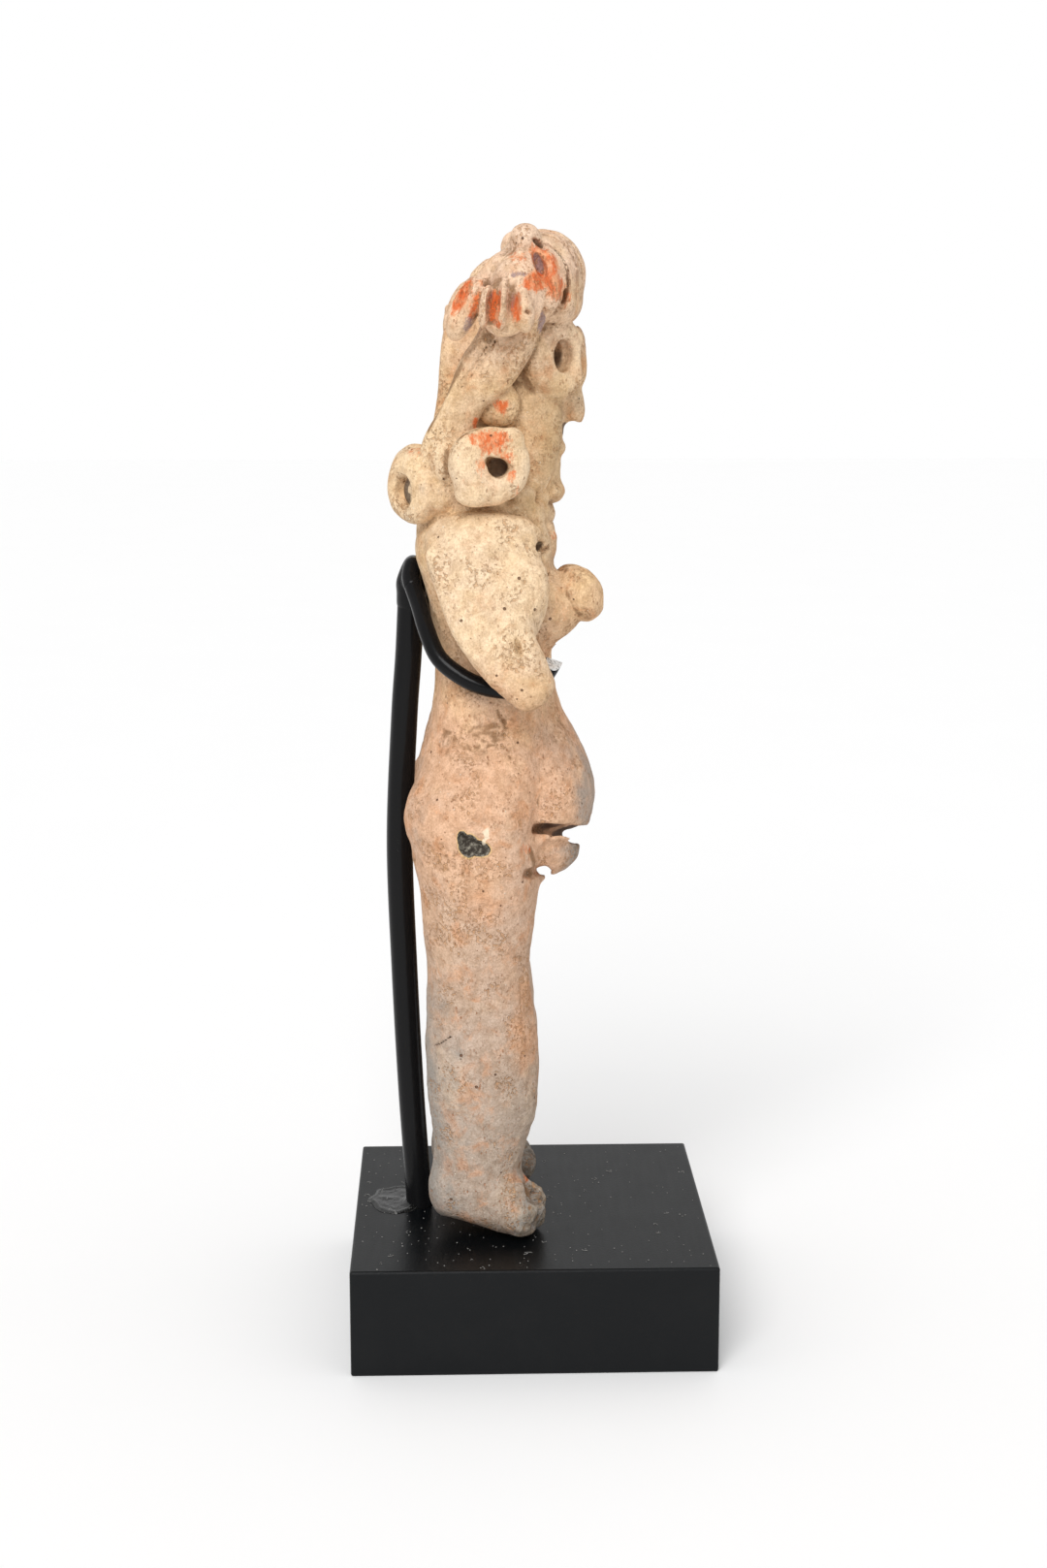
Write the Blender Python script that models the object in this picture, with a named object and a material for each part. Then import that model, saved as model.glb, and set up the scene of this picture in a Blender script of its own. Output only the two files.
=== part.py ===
"""A hand-built terracotta fertility figure on its display stand, in metres, +Z up.

The figure faces -Y, and its right side is at -X. The origin is the middle of the block's underside.
The figure is one solid of fired clay. The stand is a black block, and a bowed rod that is set in a
blind hole in it, with two claw wires brazed to the rod's top that hold the figure's waist.
"""

import math

import bmesh
import bpy
from mathutils import Euler, Matrix, Vector

# Driving dimensions, in metres.
FIGURE_HEIGHT = 0.175
FIGURE_SETBACK = 0.008  # the axis of the legs, behind the middle of the block
FOOT_GAP = 0.0003  # between the toes and the block
BLOCK_SIDE = 0.0635
BLOCK_THICKNESS = 0.01905
BLOCK_EDGE = 0.0004
ROD_DIAMETER = 0.0047
ROD_HOLE_FLOOR = 0.007  # what is left of the block under the rod's hole
ROD_FIT = 0.0003  # between the rod and the wall or floor of its hole
WIRE_DIAMETER = 0.003
WIRE_FIT = 0.0006  # between a claw wire and the clay

# The figure is laid out in parts of its own height, which is 175 of them. Its own origin is on the
# axis of the legs, level with the soles. A side is -1 for its right, at -X, and 1 for its left.
PARTS_HIGH = 175
PART = FIGURE_HEIGHT / PARTS_HIGH
RIGHT = -1
LEFT = 1

# How finely the clay is cut into faces.
SECTION_SIDES = 24
STEPS_BETWEEN_STATIONS = 4
CLAY_VOXEL = 0.8 * PART
CLAY_SOFTENING = 0.5
CLAY_SOFTENING_ROUNDS = 3
CLAY_FACE_SHARE = 0.072
WIRE_SIDES = 12
STEPS_BETWEEN_WIRE_STATIONS = 2

# Height, front, back and half width of the trunk, from the thighs to the shoulders.
TRUNK = (
    (57, -7.0, 8.6, 18.0),
    (63, -9.0, 10.4, 21.8),
    (72, -9.6, 12.2, 23.8),
    (79, -10.4, 12.2, 22.6),
    (86, -11.0, 10.9, 19.6),
    (93, -11.4, 9.0, 17.2),
    (100, -11.6, 8.4, 16.4),
    (107, -11.8, 8.8, 16.8),
    (113, -12.0, 9.8, 18.0),
    (119, -12.0, 11.6, 18.8),
    (124, -11.0, 11.4, 17.4),
    (129, -8.5, 8.6, 10.5),
)
TRUNK_SQUARENESS = 0.5
# The same four figures for the belly, and for the fold under the break that crosses its foot.
BELLY = (
    (96, -11.6, -4, 7.0),
    (92, -14.2, -4, 11.0),
    (87, -17.0, -4, 14.0),
    (82, -19.2, -4, 15.6),
    (77, -19.9, -4, 16.2),
    (71.8, -18.6, -4, 15.4),
)
BELLY_FOLD = (
    (71, -16.6, -4, 14.0),
    (68.6, -16.9, -4, 13.4),
    (66.4, -15.4, -4, 12.0),
    (64.6, -13.0, -4, 9.0),
)
# The same four figures for the head and neck.
HEAD = (
    (127, -9.5, 2.0, 6.0),
    (129.5, -13.0, 5.0, 8.2),
    (134, -13.4, 6.5, 9.4),
    (139, -13.6, 7.0, 10.0),
    (144, -14.0, 6.2, 10.6),
    (150, -14.6, 4.4, 11.4),
    (156, -14.8, 3.0, 12.4),
    (162, -14.0, 1.5, 13.6),
    (168, -12.0, -0.5, 13.0),
)


def clear_scene():
    for obj in list(bpy.data.objects):
        bpy.data.objects.remove(obj, do_unlink=True)


def smooth_rows(rows, steps):
    """Rows of numbers read from a smooth curve through the given rows."""
    found = []
    last = len(rows) - 1
    for i in range(last):
        around = (rows[max(i - 1, 0)], rows[i], rows[i + 1], rows[min(i + 2, last)])
        for k in range(steps):
            t = k / steps
            weights = (
                -t / 2 + t**2 - t**3 / 2,
                1 - 2.5 * t**2 + 1.5 * t**3,
                t / 2 + 2 * t**2 - 1.5 * t**3,
                -(t**2) / 2 + t**3 / 2,
            )
            found.append(tuple(sum(w * n for w, n in zip(weights, column)) for column in zip(*around)))
    found.append(tuple(rows[-1]))
    return found


def add_skin(clay, rings, first_pole, last_pole):
    """A closed skin over rings of points, with a point at each end."""
    rows = [[clay.verts.new(point) for point in ring] for ring in rings]
    count = len(rows[0])
    for lower, upper in zip(rows, rows[1:]):
        for i in range(count):
            j = (i + 1) % count
            clay.faces.new((lower[i], lower[j], upper[j], upper[i]))
    for row, pole in ((rows[0], first_pole), (rows[-1], last_pole)):
        tip = clay.verts.new(pole)
        for i in range(count):
            clay.faces.new((row[i], row[(i + 1) % count], tip))


def row_at(rows, height):
    """The row of a smooth outline that is nearest to a height, which is its first figure."""
    return min(smooth_rows(rows, 16), key=lambda row: abs(row[0] - height))


def corner_power(squareness):
    return 1 - 0.6 * squareness


def oval(centre, wide, deep, squareness, sides):
    """Points round an oval. A squareness of 0 is an ellipse, and 1 is nearly a rectangle."""
    power = corner_power(squareness)
    points = []
    for i in range(sides):
        turn = 2 * math.pi * (i + 0.5) / sides
        across, along = math.cos(turn), math.sin(turn)
        across = math.copysign(abs(across) ** power, across)
        along = math.copysign(abs(along) ** power, along)
        points.append(centre + wide * across + deep * along)
    return points


def add_limb(clay, stations, squareness=0.0, roundness=0.8, across=(1, 0, 0)):
    """A form with oval sections, square to the line through stations of (x, y, z, half width, half depth).

    The half width lies towards across. The ends are domes, as high as roundness times the section.
    """
    add_sweep(clay, smooth_rows(stations, STEPS_BETWEEN_STATIONS), squareness, roundness, SECTION_SIDES, across)


def add_sweep(clay, rows, squareness, roundness, sides, across):
    """The skin of a limb or a wire, through rows that are already smooth."""
    centres = [Vector(row[:3]) for row in rows]
    last = len(rows) - 1
    frames = []
    wide = Vector(across)
    for i, (centre, row) in enumerate(zip(centres, rows)):
        forward = (centres[min(i + 1, last)] - centres[max(i - 1, 0)]).normalized()
        wide = (wide - forward * forward.dot(wide)).normalized()
        frames.append((centre, forward, wide * row[3], forward.cross(wide) * row[4]))
    rings = [oval(centre, wide, deep, squareness, sides) for centre, _, wide, deep in frames]
    poles = []
    for (centre, forward, wide, deep), outward in ((frames[0], -1), (frames[-1], 1)):
        dome = forward * outward * roundness * min(wide.length, deep.length)
        cap = [
            oval(centre + dome * math.sin(lift), wide * math.cos(lift), deep * math.cos(lift), squareness, sides)
            for lift in (math.radians(28), math.radians(55), math.radians(75))
        ]
        rings = cap[::-1] + rings if outward < 0 else rings + cap
        poles.append(centre + dome)
    add_skin(clay, rings, *poles)


def add_column(clay, outline, squareness):
    """An upright form through rows of (height, front, back, half width)."""
    stations = [
        (0, (front + back) / 2, height, half_width, (back - front) / 2)
        for height, front, back, half_width in outline
    ]
    add_limb(clay, stations, squareness, roundness=0.35)


def add_pellet(clay, centre, half, turn=(0, 0, 0)):
    """A pressed ball of clay: its half sizes, and its turn about X, Y and Z in degrees."""
    rotation = Euler([math.radians(angle) for angle in turn]).to_matrix().to_4x4()
    matrix = Matrix.Translation(centre) @ rotation @ Matrix.Diagonal((*half, 1))
    bmesh.ops.create_icosphere(clay, subdivisions=3, radius=1, matrix=matrix)


def add_punched_disc(clay, centre, facing, outer, hole, thickness, shift=(0, 0)):
    """A thick disc with a round edge and a blind hole. outer and hole are half sizes across and up."""
    place = Matrix.Translation(centre) @ Vector(facing).to_track_quat("Z", "Y").to_matrix().to_4x4()
    # How far each ring lies from the hole's edge, 0, to the outer edge, 1, and its height.
    section = ((0.55, -0.5), (0.9, -0.34), (1, 0), (0.9, 0.34), (0.6, 0.5), (0.25, 0.5), (0, 0.34))
    rings = []
    for out, height in section:
        half = [inner + (edge - inner) * out for edge, inner in zip(outer, hole)]
        middle = Vector((shift[0] * (1 - out), shift[1] * (1 - out), height * thickness))
        rings.append(oval(middle, Vector((half[0], 0, 0)), Vector((0, half[1], 0)), 0, SECTION_SIDES))
    floor = Vector((*shift, -0.25 * thickness))
    rings.append(oval(floor, Vector((hole[0] * 0.7, 0, 0)), Vector((0, hole[1] * 0.7, 0)), 0, SECTION_SIDES))
    back = Vector((0, 0, -0.5 * thickness))
    placed = [[place @ point for point in ring] for ring in rings]
    add_skin(clay, placed, place @ back, place @ floor)


def add_trunk(clay):
    add_column(clay, TRUNK, TRUNK_SQUARENESS)
    add_column(clay, BELLY, squareness=0)
    add_column(clay, BELLY_FOLD, squareness=0)
    for side in (RIGHT, LEFT):
        add_pellet(clay, (side * 11.0, 5.6, 71.6), (11.6, 8.8, 8.6))


def add_leg(clay, side):
    stations = (
        (side * 10.9, 1.2, 67, 12.1, 10.0),
        (side * 11.1, 1.1, 57, 11.6, 9.8),
        (side * 11.2, 1.1, 45, 10.4, 9.3),
        (side * 11.0, 0.7, 34, 9.6, 9.8),
        (side * 11.0, 0.8, 24, 8.8, 9.5),
        (side * 11.1, 1.2, 15, 7.8, 8.3),
        (side * 11.2, 1.6, 9, 7.4, 8.0),
    )
    add_limb(clay, stations, squareness=0.2)


def add_foot(clay, side):
    stations = (
        (side * 11.2, 6.2, 6.6, 6.6, 4.6),
        (side * 12.2, 1.5, 6.2, 7.0, 5.0),
        (side * 13.8, -4.0, 5.1, 7.1, 4.9),
        (side * 14.8, -7.6, 4.1, 6.5, 4.1),
    )
    add_limb(clay, stations, squareness=0.25, roundness=0.75)


def add_arm(clay, side):
    """A flat stump, wide at the shoulder, that stands off the waist so that a wire passes behind it."""
    stations = (
        (side * 14.5, 0.3, 123.6, 5.0, 9.6),
        (side * 18.0, 0.2, 118.0, 4.8, 10.0),
        (side * 21.4, -1.2, 111.5, 4.2, 8.6),
        (side * 24.0, -4.4, 105.5, 3.8, 6.2),
        (side * 25.2, -7.4, 101.0, 3.5, 4.6),
        (side * 25.6, -8.8, 99.0, 3.0, 3.6),
    )
    add_limb(clay, stations, squareness=0.1)


def add_breast(clay, side):
    add_limb(
        clay,
        (
            (side * 8.6, -6.5, 110.8, 8.6, 8.6),
            (side * 9.6, -11.2, 111.4, 6.8, 6.4),
            (side * 10.6, -15.2, 112.9, 4.4, 4.1),
        ),
    )
    add_pellet(clay, (side * 11.0, -16.6, 113.6), (4.9, 3.4, 5.0), (-24, 0, side * 8))


def add_head(clay):
    add_column(clay, HEAD, squareness=0.2)
    add_pellet(clay, (0, -14.2, 145.2), (3.6, 3.4, 4.6))
    add_pellet(clay, (0, -13.2, 138.2), (5.0, 1.3, 1.5))
    add_pellet(clay, (0, -16.2, 153.0), (3.4, 1.8, 5.4))
    for side in (RIGHT, LEFT):
        add_punched_disc(
            clay, (side * 9.0, -12.1, 152.8), (side * 0.76, -0.65, 0.04), (6.4, 6.6), (2.1, 3.1), 5.4
        )


def add_ear_spools(clay):
    for side in (RIGHT, LEFT):
        add_punched_disc(
            clay,
            (side * 17.6, -0.6, 135.4),
            (side, -0.18, 0.06),
            (6.7, 6.7),
            (2.2, 1.7),
            6.4,
            shift=(-side * 1.2, -0.3),
        )
        add_pellet(clay, (side * 12.0, 1.5, 135.0), (5.0, 7.0, 6.5))
        add_punched_disc(clay, (side * 9.2, 11.4, 131.2), (side * 0.5, 0.86, 0), (6.2, 6.4), (1.7, 2.2), 7.0)
        add_pellet(clay, (side * 7.5, 7.2, 131.0), (7.5, 6.2, 6.0))


def add_hair_straps(clay):
    """The flat falls of hair from the side buns to the back of the neck. The left one hangs straighter."""
    add_limb(
        clay,
        (
            (RIGHT * 14.6, -5.4, 161, 3.4, 5.6),
            (RIGHT * 13.4, -3.6, 153, 3.6, 6.2),
            (RIGHT * 12.2, 0.4, 145, 3.8, 6.2),
            (RIGHT * 11.0, 4.6, 138, 4.0, 5.2),
            (RIGHT * 10.0, 7.2, 133, 4.0, 4.6),
        ),
    )
    add_limb(
        clay,
        (
            (LEFT * 14.6, 1.6, 161, 3.4, 5.6),
            (LEFT * 13.4, 2.2, 153, 3.6, 5.6),
            (LEFT * 12.2, 3.0, 145, 3.8, 5.4),
            (LEFT * 11.0, 5.0, 138, 4.0, 5.0),
            (LEFT * 10.0, 7.2, 133, 4.0, 4.6),
        ),
    )


def add_necklace(clay):
    stations = []
    for turn in (-115, -75, -38, 0, 38, 75, 115):
        angle = math.radians(turn)
        stations.append((13.5 * math.sin(angle), -0.2 - 9.6 * math.cos(angle), 126.0, 2.2, 2.5))
    add_limb(clay, stations, across=(0, 0, 1))
    for x in (-5.6, 0, 5.6):
        add_pellet(clay, (x, -11.0, 121.6), (2.3, 1.8, 3.9))


def add_headdress(clay):
    add_limb(
        clay,
        (
            (-18.0, -5.5, 163.6, 5.0, 6.0),
            (-10.0, -9.0, 166.2, 7.2, 7.8),
            (0, -10.1, 167.0, 7.5, 8.0),
            (10.0, -9.0, 166.2, 7.2, 7.8),
            (18.0, -5.5, 163.6, 5.0, 6.0),
        ),
        across=(0, 1, 0),
    )
    fringe = [(x, -12.8 + 0.012 * x * x, 162.4, 4.2, 4.4) for x in (-12, -6, 0, 6, 12)]
    add_limb(clay, fringe, across=(0, 1, 0))
    coils = (
        # Half length, distance back, height, radius and the sag of the ends.
        (11.0, -8.0, 172.0, 2.7, 1.8),
        (13.0, -1.6, 165.4, 3.2, 2.4),
    )
    for half_length, back, height, radius, sag in coils:
        ends = [(x * half_length, back, height - sag * x * x, radius, radius) for x in (-1, -0.5, 0, 0.5, 1)]
        add_limb(clay, ends, across=(0, 1, 0))
    for side in (RIGHT, LEFT):
        rear = 0 if side == RIGHT else 0.8
        add_pellet(clay, (side * 18.4, 2.4 + rear, 161.8), (3.6, 2.9, 6.2), (12, 0, 0))
        add_pellet(clay, (side * 20.4, -2.8, 161.4), (4.0, 4.8, 5.4), (8, 0, 0))
        add_pellet(clay, (side * 14.5, -9.0, 168.6), (4.6, 4.8, 5.6), (-20, 0, 0))


def figure_clay():
    clay = bmesh.new()
    add_trunk(clay)
    for side in (RIGHT, LEFT):
        add_leg(clay, side)
        add_foot(clay, side)
        add_arm(clay, side)
        add_breast(clay, side)
    add_head(clay)
    add_ear_spools(clay)
    add_hair_straps(clay)
    add_necklace(clay)
    add_headdress(clay)
    return clay


def figure_cuts():
    """What the maker pushed, slit or scraped away, and what has broken out since."""
    cuts = bmesh.new()
    # The break that runs across the front, under the belly.
    add_limb(
        cuts,
        (
            (-16.5, -8.6, 74.0, 3.2, 0.9),
            (-11.0, -14.2, 71.8, 4.2, 1.2),
            (0, -20.0, 68.9, 5.2, 1.8),
            (11.0, -14.2, 71.8, 4.2, 1.2),
            (16.5, -8.6, 74.0, 3.2, 0.9),
        ),
        across=(0, 1, 0),
    )
    # The hollow down the spine.
    add_limb(
        cuts,
        (
            (0, 14.4, 124, 4.0, 3.0),
            (0, 12.8, 117, 4.2, 3.0),
            (0, 11.7, 109, 4.0, 3.0),
            (0, 11.4, 100, 3.4, 3.0),
            (0, 12.4, 92, 3.0, 3.0),
        ),
    )
    # The mouth, and the slit in the brow pellet.
    add_pellet(cuts, (0, -15.6, 140.6), (3.0, 1.2, 1.0))
    add_pellet(cuts, (0, -18.6, 153.4), (0.9, 1.6, 3.8))
    for side in (RIGHT, LEFT):
        rear = 0 if side == RIGHT else 0.8
        # Gashes in the side buns and in the headdress.
        add_pellet(cuts, (side * 22.0, 2.7 + rear, 162.4), (1.3, 0.9, 4.6), (12, 0, 0))
        add_pellet(cuts, (side * 24.4, -1.0, 161.6), (1.2, 0.9, 2.7), (8, 0, 0))
        add_pellet(cuts, (side * 24.2, -4.9, 161.4), (1.2, 0.9, 2.7), (8, 0, 0))
        add_pellet(cuts, (side * 19.2, -9.2, 169.2), (1.4, 1.0, 3.2), (-20, 0, 0))
        # Finger slits at the end of the arm.
        add_pellet(cuts, (side * 28.0, -5.2, 106.6), (1.0, 0.6, 2.2), (-14, 0, 0))
        # Toe slits.
        for toe in (-2.4, 0, 2.4):
            add_pellet(cuts, (side * 14.8 + toe * 1.3, -10.4, 6.0), (0.55, 1.7, 3.0), (24, 0, 0))
    # Upright grooves along the front of the headdress.
    for x in (-12, -8, -4, 0, 4, 8, 12):
        add_pellet(cuts, (x, -17.9 + 0.017 * x * x, 164.0), (0.8, 1.3, 4.6))
    # The chip that is out of the right hip.
    add_pellet(cuts, (RIGHT * 24.8, 3.2, 72.4), (2.6, 2.7, 2.2), (20, 0, 0))
    return cuts


def make_material(name, colour, roughness, metallic=0.0):
    material = bpy.data.materials.new(name)
    material.use_nodes = True
    shader = material.node_tree.nodes["Principled BSDF"]
    shader.inputs["Base Color"].default_value = (*colour, 1)
    shader.inputs["Roughness"].default_value = roughness
    shader.inputs["Metallic"].default_value = metallic
    return material


def make_object(name, form, material, location=(0, 0, 0), parent=None):
    bmesh.ops.recalc_face_normals(form, faces=form.faces)
    mesh = bpy.data.meshes.new(name)
    form.to_mesh(mesh)
    form.free()
    if material:
        mesh.materials.append(material)
    obj = bpy.data.objects.new(name, mesh)
    obj.location = location
    obj.parent = parent
    bpy.context.scene.collection.objects.link(obj)
    return obj


def make_helper(name, form, location=(0, 0, 0), parent=None):
    """A shape that only cuts or joins another, and isn't a piece of the object."""
    helper = make_object(name, form, None, location, parent)
    helper.hide_render = True
    helper.display_type = "WIRE"
    return helper


def add_boolean(obj, operation, other):
    modifier = obj.modifiers.new(other.name, "BOOLEAN")
    modifier.operation = operation
    modifier.solver = "EXACT"
    modifier.object = other


def scaled(form, factor):
    bmesh.ops.scale(form, vec=(factor, factor, factor), verts=form.verts)
    return form


def figure_place():
    return Vector((0, FIGURE_SETBACK, BLOCK_THICKNESS + FOOT_GAP))


def make_figure(parent):
    clay = make_material("terracotta", (0.60, 0.42, 0.28), 0.9)
    figure = make_object("figure", scaled(figure_clay(), PART), clay, figure_place(), parent)
    cuts = make_helper("figure_cuts", scaled(figure_cuts(), PART), figure_place(), parent)
    joined = figure.modifiers.new("joined clay", "REMESH")
    joined.mode = "VOXEL"
    joined.voxel_size = CLAY_VOXEL
    softened = figure.modifiers.new("softened joints", "SMOOTH")
    softened.factor = CLAY_SOFTENING
    softened.iterations = CLAY_SOFTENING_ROUNDS
    add_boolean(figure, "DIFFERENCE", cuts)
    lightened = figure.modifiers.new("fewer faces", "DECIMATE")
    lightened.ratio = CLAY_FACE_SHARE
    return figure


def trunk_skin(turn, height):
    """A point on the trunk's left half, in metres, turn degrees round from the back."""
    _, front, back, half_width = row_at(TRUNK, height)
    power = corner_power(TRUNK_SQUARENESS)
    angle = math.radians(turn)
    along = math.copysign(abs(math.cos(angle)) ** power, math.cos(angle))
    side = half_width * math.sin(angle) ** power
    return Vector((side, (front + back) / 2 + (back - front) / 2 * along, height)) * PART


def wire_route(side):
    """Centre line of a claw wire, in metres from the figure's own origin.

    It rises from the rod's top, bends over, and follows the trunk round to the belly.
    """
    stand_off = WIRE_DIAMETER / 2 + WIRE_FIT
    rod_back = rod_distance_back(ROD_TOP)
    start = [
        Vector((side * WIRE_DIAMETER * 0.3, rod_back, (ROD_TOP - 4) * PART)),
        Vector((side * WIRE_DIAMETER * 0.3, rod_back + 0.1 * PART, (ROD_TOP + 2) * PART)),
        Vector((side * WIRE_DIAMETER * 0.5, rod_back - 0.3 * PART, (ROD_TOP + 3.7) * PART)),
    ]
    around = []
    # Turn from the back, height, and slack beyond the stand-off, in parts.
    for turn, height, slack in WIRE_COURSE:
        skin = trunk_skin(turn, height)
        ahead = trunk_skin(turn + 1, height) - skin
        out = Vector((-ahead.y, ahead.x, 0)).normalized()
        point = skin + out * (stand_off + slack * PART)
        around.append(Vector((side * point.x, point.y, point.z)))
    return start + around


ROD_TOP = 113.6
# Height in parts, and how far the rod's front stands behind the axis of the legs there.
ROD_BOW = ((0, 9.9), (22, 11.2), (45, 12.2), (68, 12.8), (90, 11.8), (102, 10.9), (ROD_TOP, 10.3))
# Turn round the trunk from the back, height, and slack beyond the wire's fit.
WIRE_COURSE = (
    (5, 115.0, 0.2),
    (16, 111.0, 0),
    (33, 107.1, 0.3),
    (50, 103.1, 0.6),
    (67, 100.4, 0),
    (84, 98.6, 0),
    (96, 97.9, 0),
    (115, 98.4, 0),
    (128, 100.2, 0),
    (142, 102.6, 0),
)


def rod_distance_back(height):
    """The rod's axis at a height in parts, behind the axis of the legs, in metres."""
    return row_at(ROD_BOW, height)[1] * PART + ROD_DIAMETER / 2


def add_wire(form, route, diameter):
    """A round wire with flat cut ends."""
    stations = [(*point, diameter / 2, diameter / 2) for point in route]
    rows = smooth_rows(stations, STEPS_BETWEEN_WIRE_STATIONS)
    add_sweep(form, rows, squareness=0, roundness=0.02, sides=WIRE_SIDES, across=(1, 0, 0))


def make_claw_stand(parent):
    """The bowed rod, with its two claw wires brazed on as one piece."""
    paint = make_material("black_paint", (0.012, 0.012, 0.013), 0.35)
    place = figure_place()
    foot = ROD_HOLE_FLOOR + ROD_FIT - place.z
    route = [Vector((0, rod_distance_back(0), foot))]
    route += [Vector((0, rod_distance_back(height), height * PART)) for height, _ in ROD_BOW]
    rod = bmesh.new()
    add_wire(rod, route, ROD_DIAMETER)
    stand = make_object("claw_stand", rod, paint, place, parent)
    for side, name in ((RIGHT, "right_wire"), (LEFT, "left_wire")):
        wire = bmesh.new()
        add_wire(wire, wire_route(side), WIRE_DIAMETER)
        add_boolean(stand, "UNION", make_helper(name, wire, place, parent))
    return stand


def rod_foot():
    """Where the rod's axis meets the top of the block."""
    return Vector((0, FIGURE_SETBACK + rod_distance_back(0), BLOCK_THICKNESS))


def make_block(parent):
    lacquer = make_material("black_block", (0.013, 0.014, 0.015), 0.45)
    form = bmesh.new()
    size = Matrix.Diagonal((BLOCK_SIDE, BLOCK_SIDE, BLOCK_THICKNESS, 1))
    bmesh.ops.create_cube(form, size=1, matrix=Matrix.Translation((0, 0, BLOCK_THICKNESS / 2)) @ size)
    block = make_object("block", form, lacquer, parent=parent)
    edge = block.modifiers.new("broken edges", "BEVEL")
    edge.width = BLOCK_EDGE
    edge.segments = 2
    hole = bmesh.new()
    bmesh.ops.create_cone(
        hole,
        cap_ends=True,
        segments=32,
        radius1=ROD_DIAMETER / 2 + ROD_FIT,
        radius2=ROD_DIAMETER / 2 + ROD_FIT,
        depth=2 * (BLOCK_THICKNESS - ROD_HOLE_FLOOR),
    )
    add_boolean(block, "DIFFERENCE", make_helper("rod_hole", hole, rod_foot(), parent))
    return block


def main():
    clear_scene()
    origin = bpy.data.objects.new("fertility_figure", None)
    bpy.context.scene.collection.objects.link(origin)
    make_block(origin)
    make_claw_stand(origin)
    make_figure(origin)


main()
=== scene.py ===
"""The looks of a hand-built terracotta fertility figure on its display stand.

It is laid out as a Blender add-on and run as a script. Lengths on the clay are in parts: the figure
stands 175 parts high, about a millimetre each. Its own origin is on the axis of the legs, level with
the soles. It faces -Y, and its right side, at -X, is the one that the camera sees.
"""

import math

import bmesh
import bpy
import numpy as np
from mathutils import Euler, Matrix, Vector


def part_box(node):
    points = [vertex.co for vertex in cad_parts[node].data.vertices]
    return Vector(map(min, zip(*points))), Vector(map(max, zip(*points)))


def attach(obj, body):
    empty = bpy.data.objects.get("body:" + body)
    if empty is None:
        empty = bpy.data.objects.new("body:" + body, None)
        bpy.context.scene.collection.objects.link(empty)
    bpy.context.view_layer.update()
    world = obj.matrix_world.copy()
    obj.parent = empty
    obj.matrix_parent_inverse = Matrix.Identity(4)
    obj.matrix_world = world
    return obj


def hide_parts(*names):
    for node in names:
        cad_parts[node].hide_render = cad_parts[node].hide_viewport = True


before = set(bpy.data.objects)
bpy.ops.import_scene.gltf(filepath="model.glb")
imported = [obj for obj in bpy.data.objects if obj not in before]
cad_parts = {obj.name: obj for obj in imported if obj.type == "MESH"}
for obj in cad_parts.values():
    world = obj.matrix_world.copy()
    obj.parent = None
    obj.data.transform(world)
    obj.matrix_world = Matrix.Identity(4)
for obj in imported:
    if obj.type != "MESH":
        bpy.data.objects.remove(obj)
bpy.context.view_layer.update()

bl_info = {
    "name": "Terracotta fertility figure",
    "version": (1, 0, 0),
    "blender": (4, 5, 0),
    "location": "3D View > Sidebar > Figure",
    "description": "Dresses a packed terracotta figure and its display stand",
    "category": "Object",
}

CLAY_LOW, CLAY_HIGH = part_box("figure")
BLOCK_LOW, BLOCK_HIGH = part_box("block")
STAND_LOW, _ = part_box("claw_stand")

BODY = "root"
MILLIMETRE = 0.001
PART = MILLIMETRE
FIGURE_HEIGHT = 175  # in parts
SETBACK = 0.008  # the axis of the legs, behind the middle of the block
FOOT_GAP = 0.0003  # between the toes and the block
FIGURE_ORIGIN = Vector((0, SETBACK, BLOCK_HIGH.z + FOOT_GAP))
RIGHT = -1
LEFT = 1
SIDES = (RIGHT, LEFT)

# Height, front, back and half width of the trunk, from the thighs to the shoulders.
TRUNK = (
    (57, -7.0, 8.6, 18.0),
    (63, -9.0, 10.4, 21.8),
    (72, -9.6, 12.2, 23.8),
    (79, -10.4, 12.2, 22.6),
    (86, -11.0, 10.9, 19.6),
    (93, -11.4, 9.0, 17.2),
    (100, -11.6, 8.4, 16.4),
    (107, -11.8, 8.8, 16.8),
    (113, -12.0, 9.8, 18.0),
    (119, -12.0, 11.6, 18.8),
    (124, -11.0, 11.4, 17.4),
    (129, -8.5, 8.6, 10.5),
)
TRUNK_SQUARENESS = 0.5
BELLY = (
    (96, -11.6, -4, 7.0),
    (92, -13.7, -4, 11.0),
    (87, -16.6, -4, 14.0),
    (82, -19.0, -4, 15.6),
    (77, -19.8, -4, 16.2),
    (71.8, -18.6, -4, 15.4),
)
BELLY_FOLD = (
    (70.4, -16.2, -4, 14.0),
    (68.4, -17.1, -4, 13.6),
    (66.2, -16.6, -4, 12.8),
    (64.4, -14.6, -4, 11.4),
    (63.4, -12.4, -4, 9.6),
)
HEAD = (
    (127, -9.5, 2.0, 6.0),
    (129.5, -13.0, 5.0, 8.2),
    (134, -13.4, 6.5, 9.4),
    (139, -13.6, 5.4, 10.0),
    (144, -14.0, 3.4, 10.6),
    (150, -14.6, 1.2, 11.4),
    (156, -14.8, -0.6, 12.4),
    (162, -14.0, -1.6, 13.6),
    (168, -12.0, -2.5, 12.6),
)
ROD_TOP = 113.6
# Height, and how far the rod's front stands behind the axis of the legs there.
ROD_BOW = ((0, 9.9), (22, 11.2), (45, 12.2), (68, 12.8), (90, 11.8), (102, 10.9), (ROD_TOP, 10.3))
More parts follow.
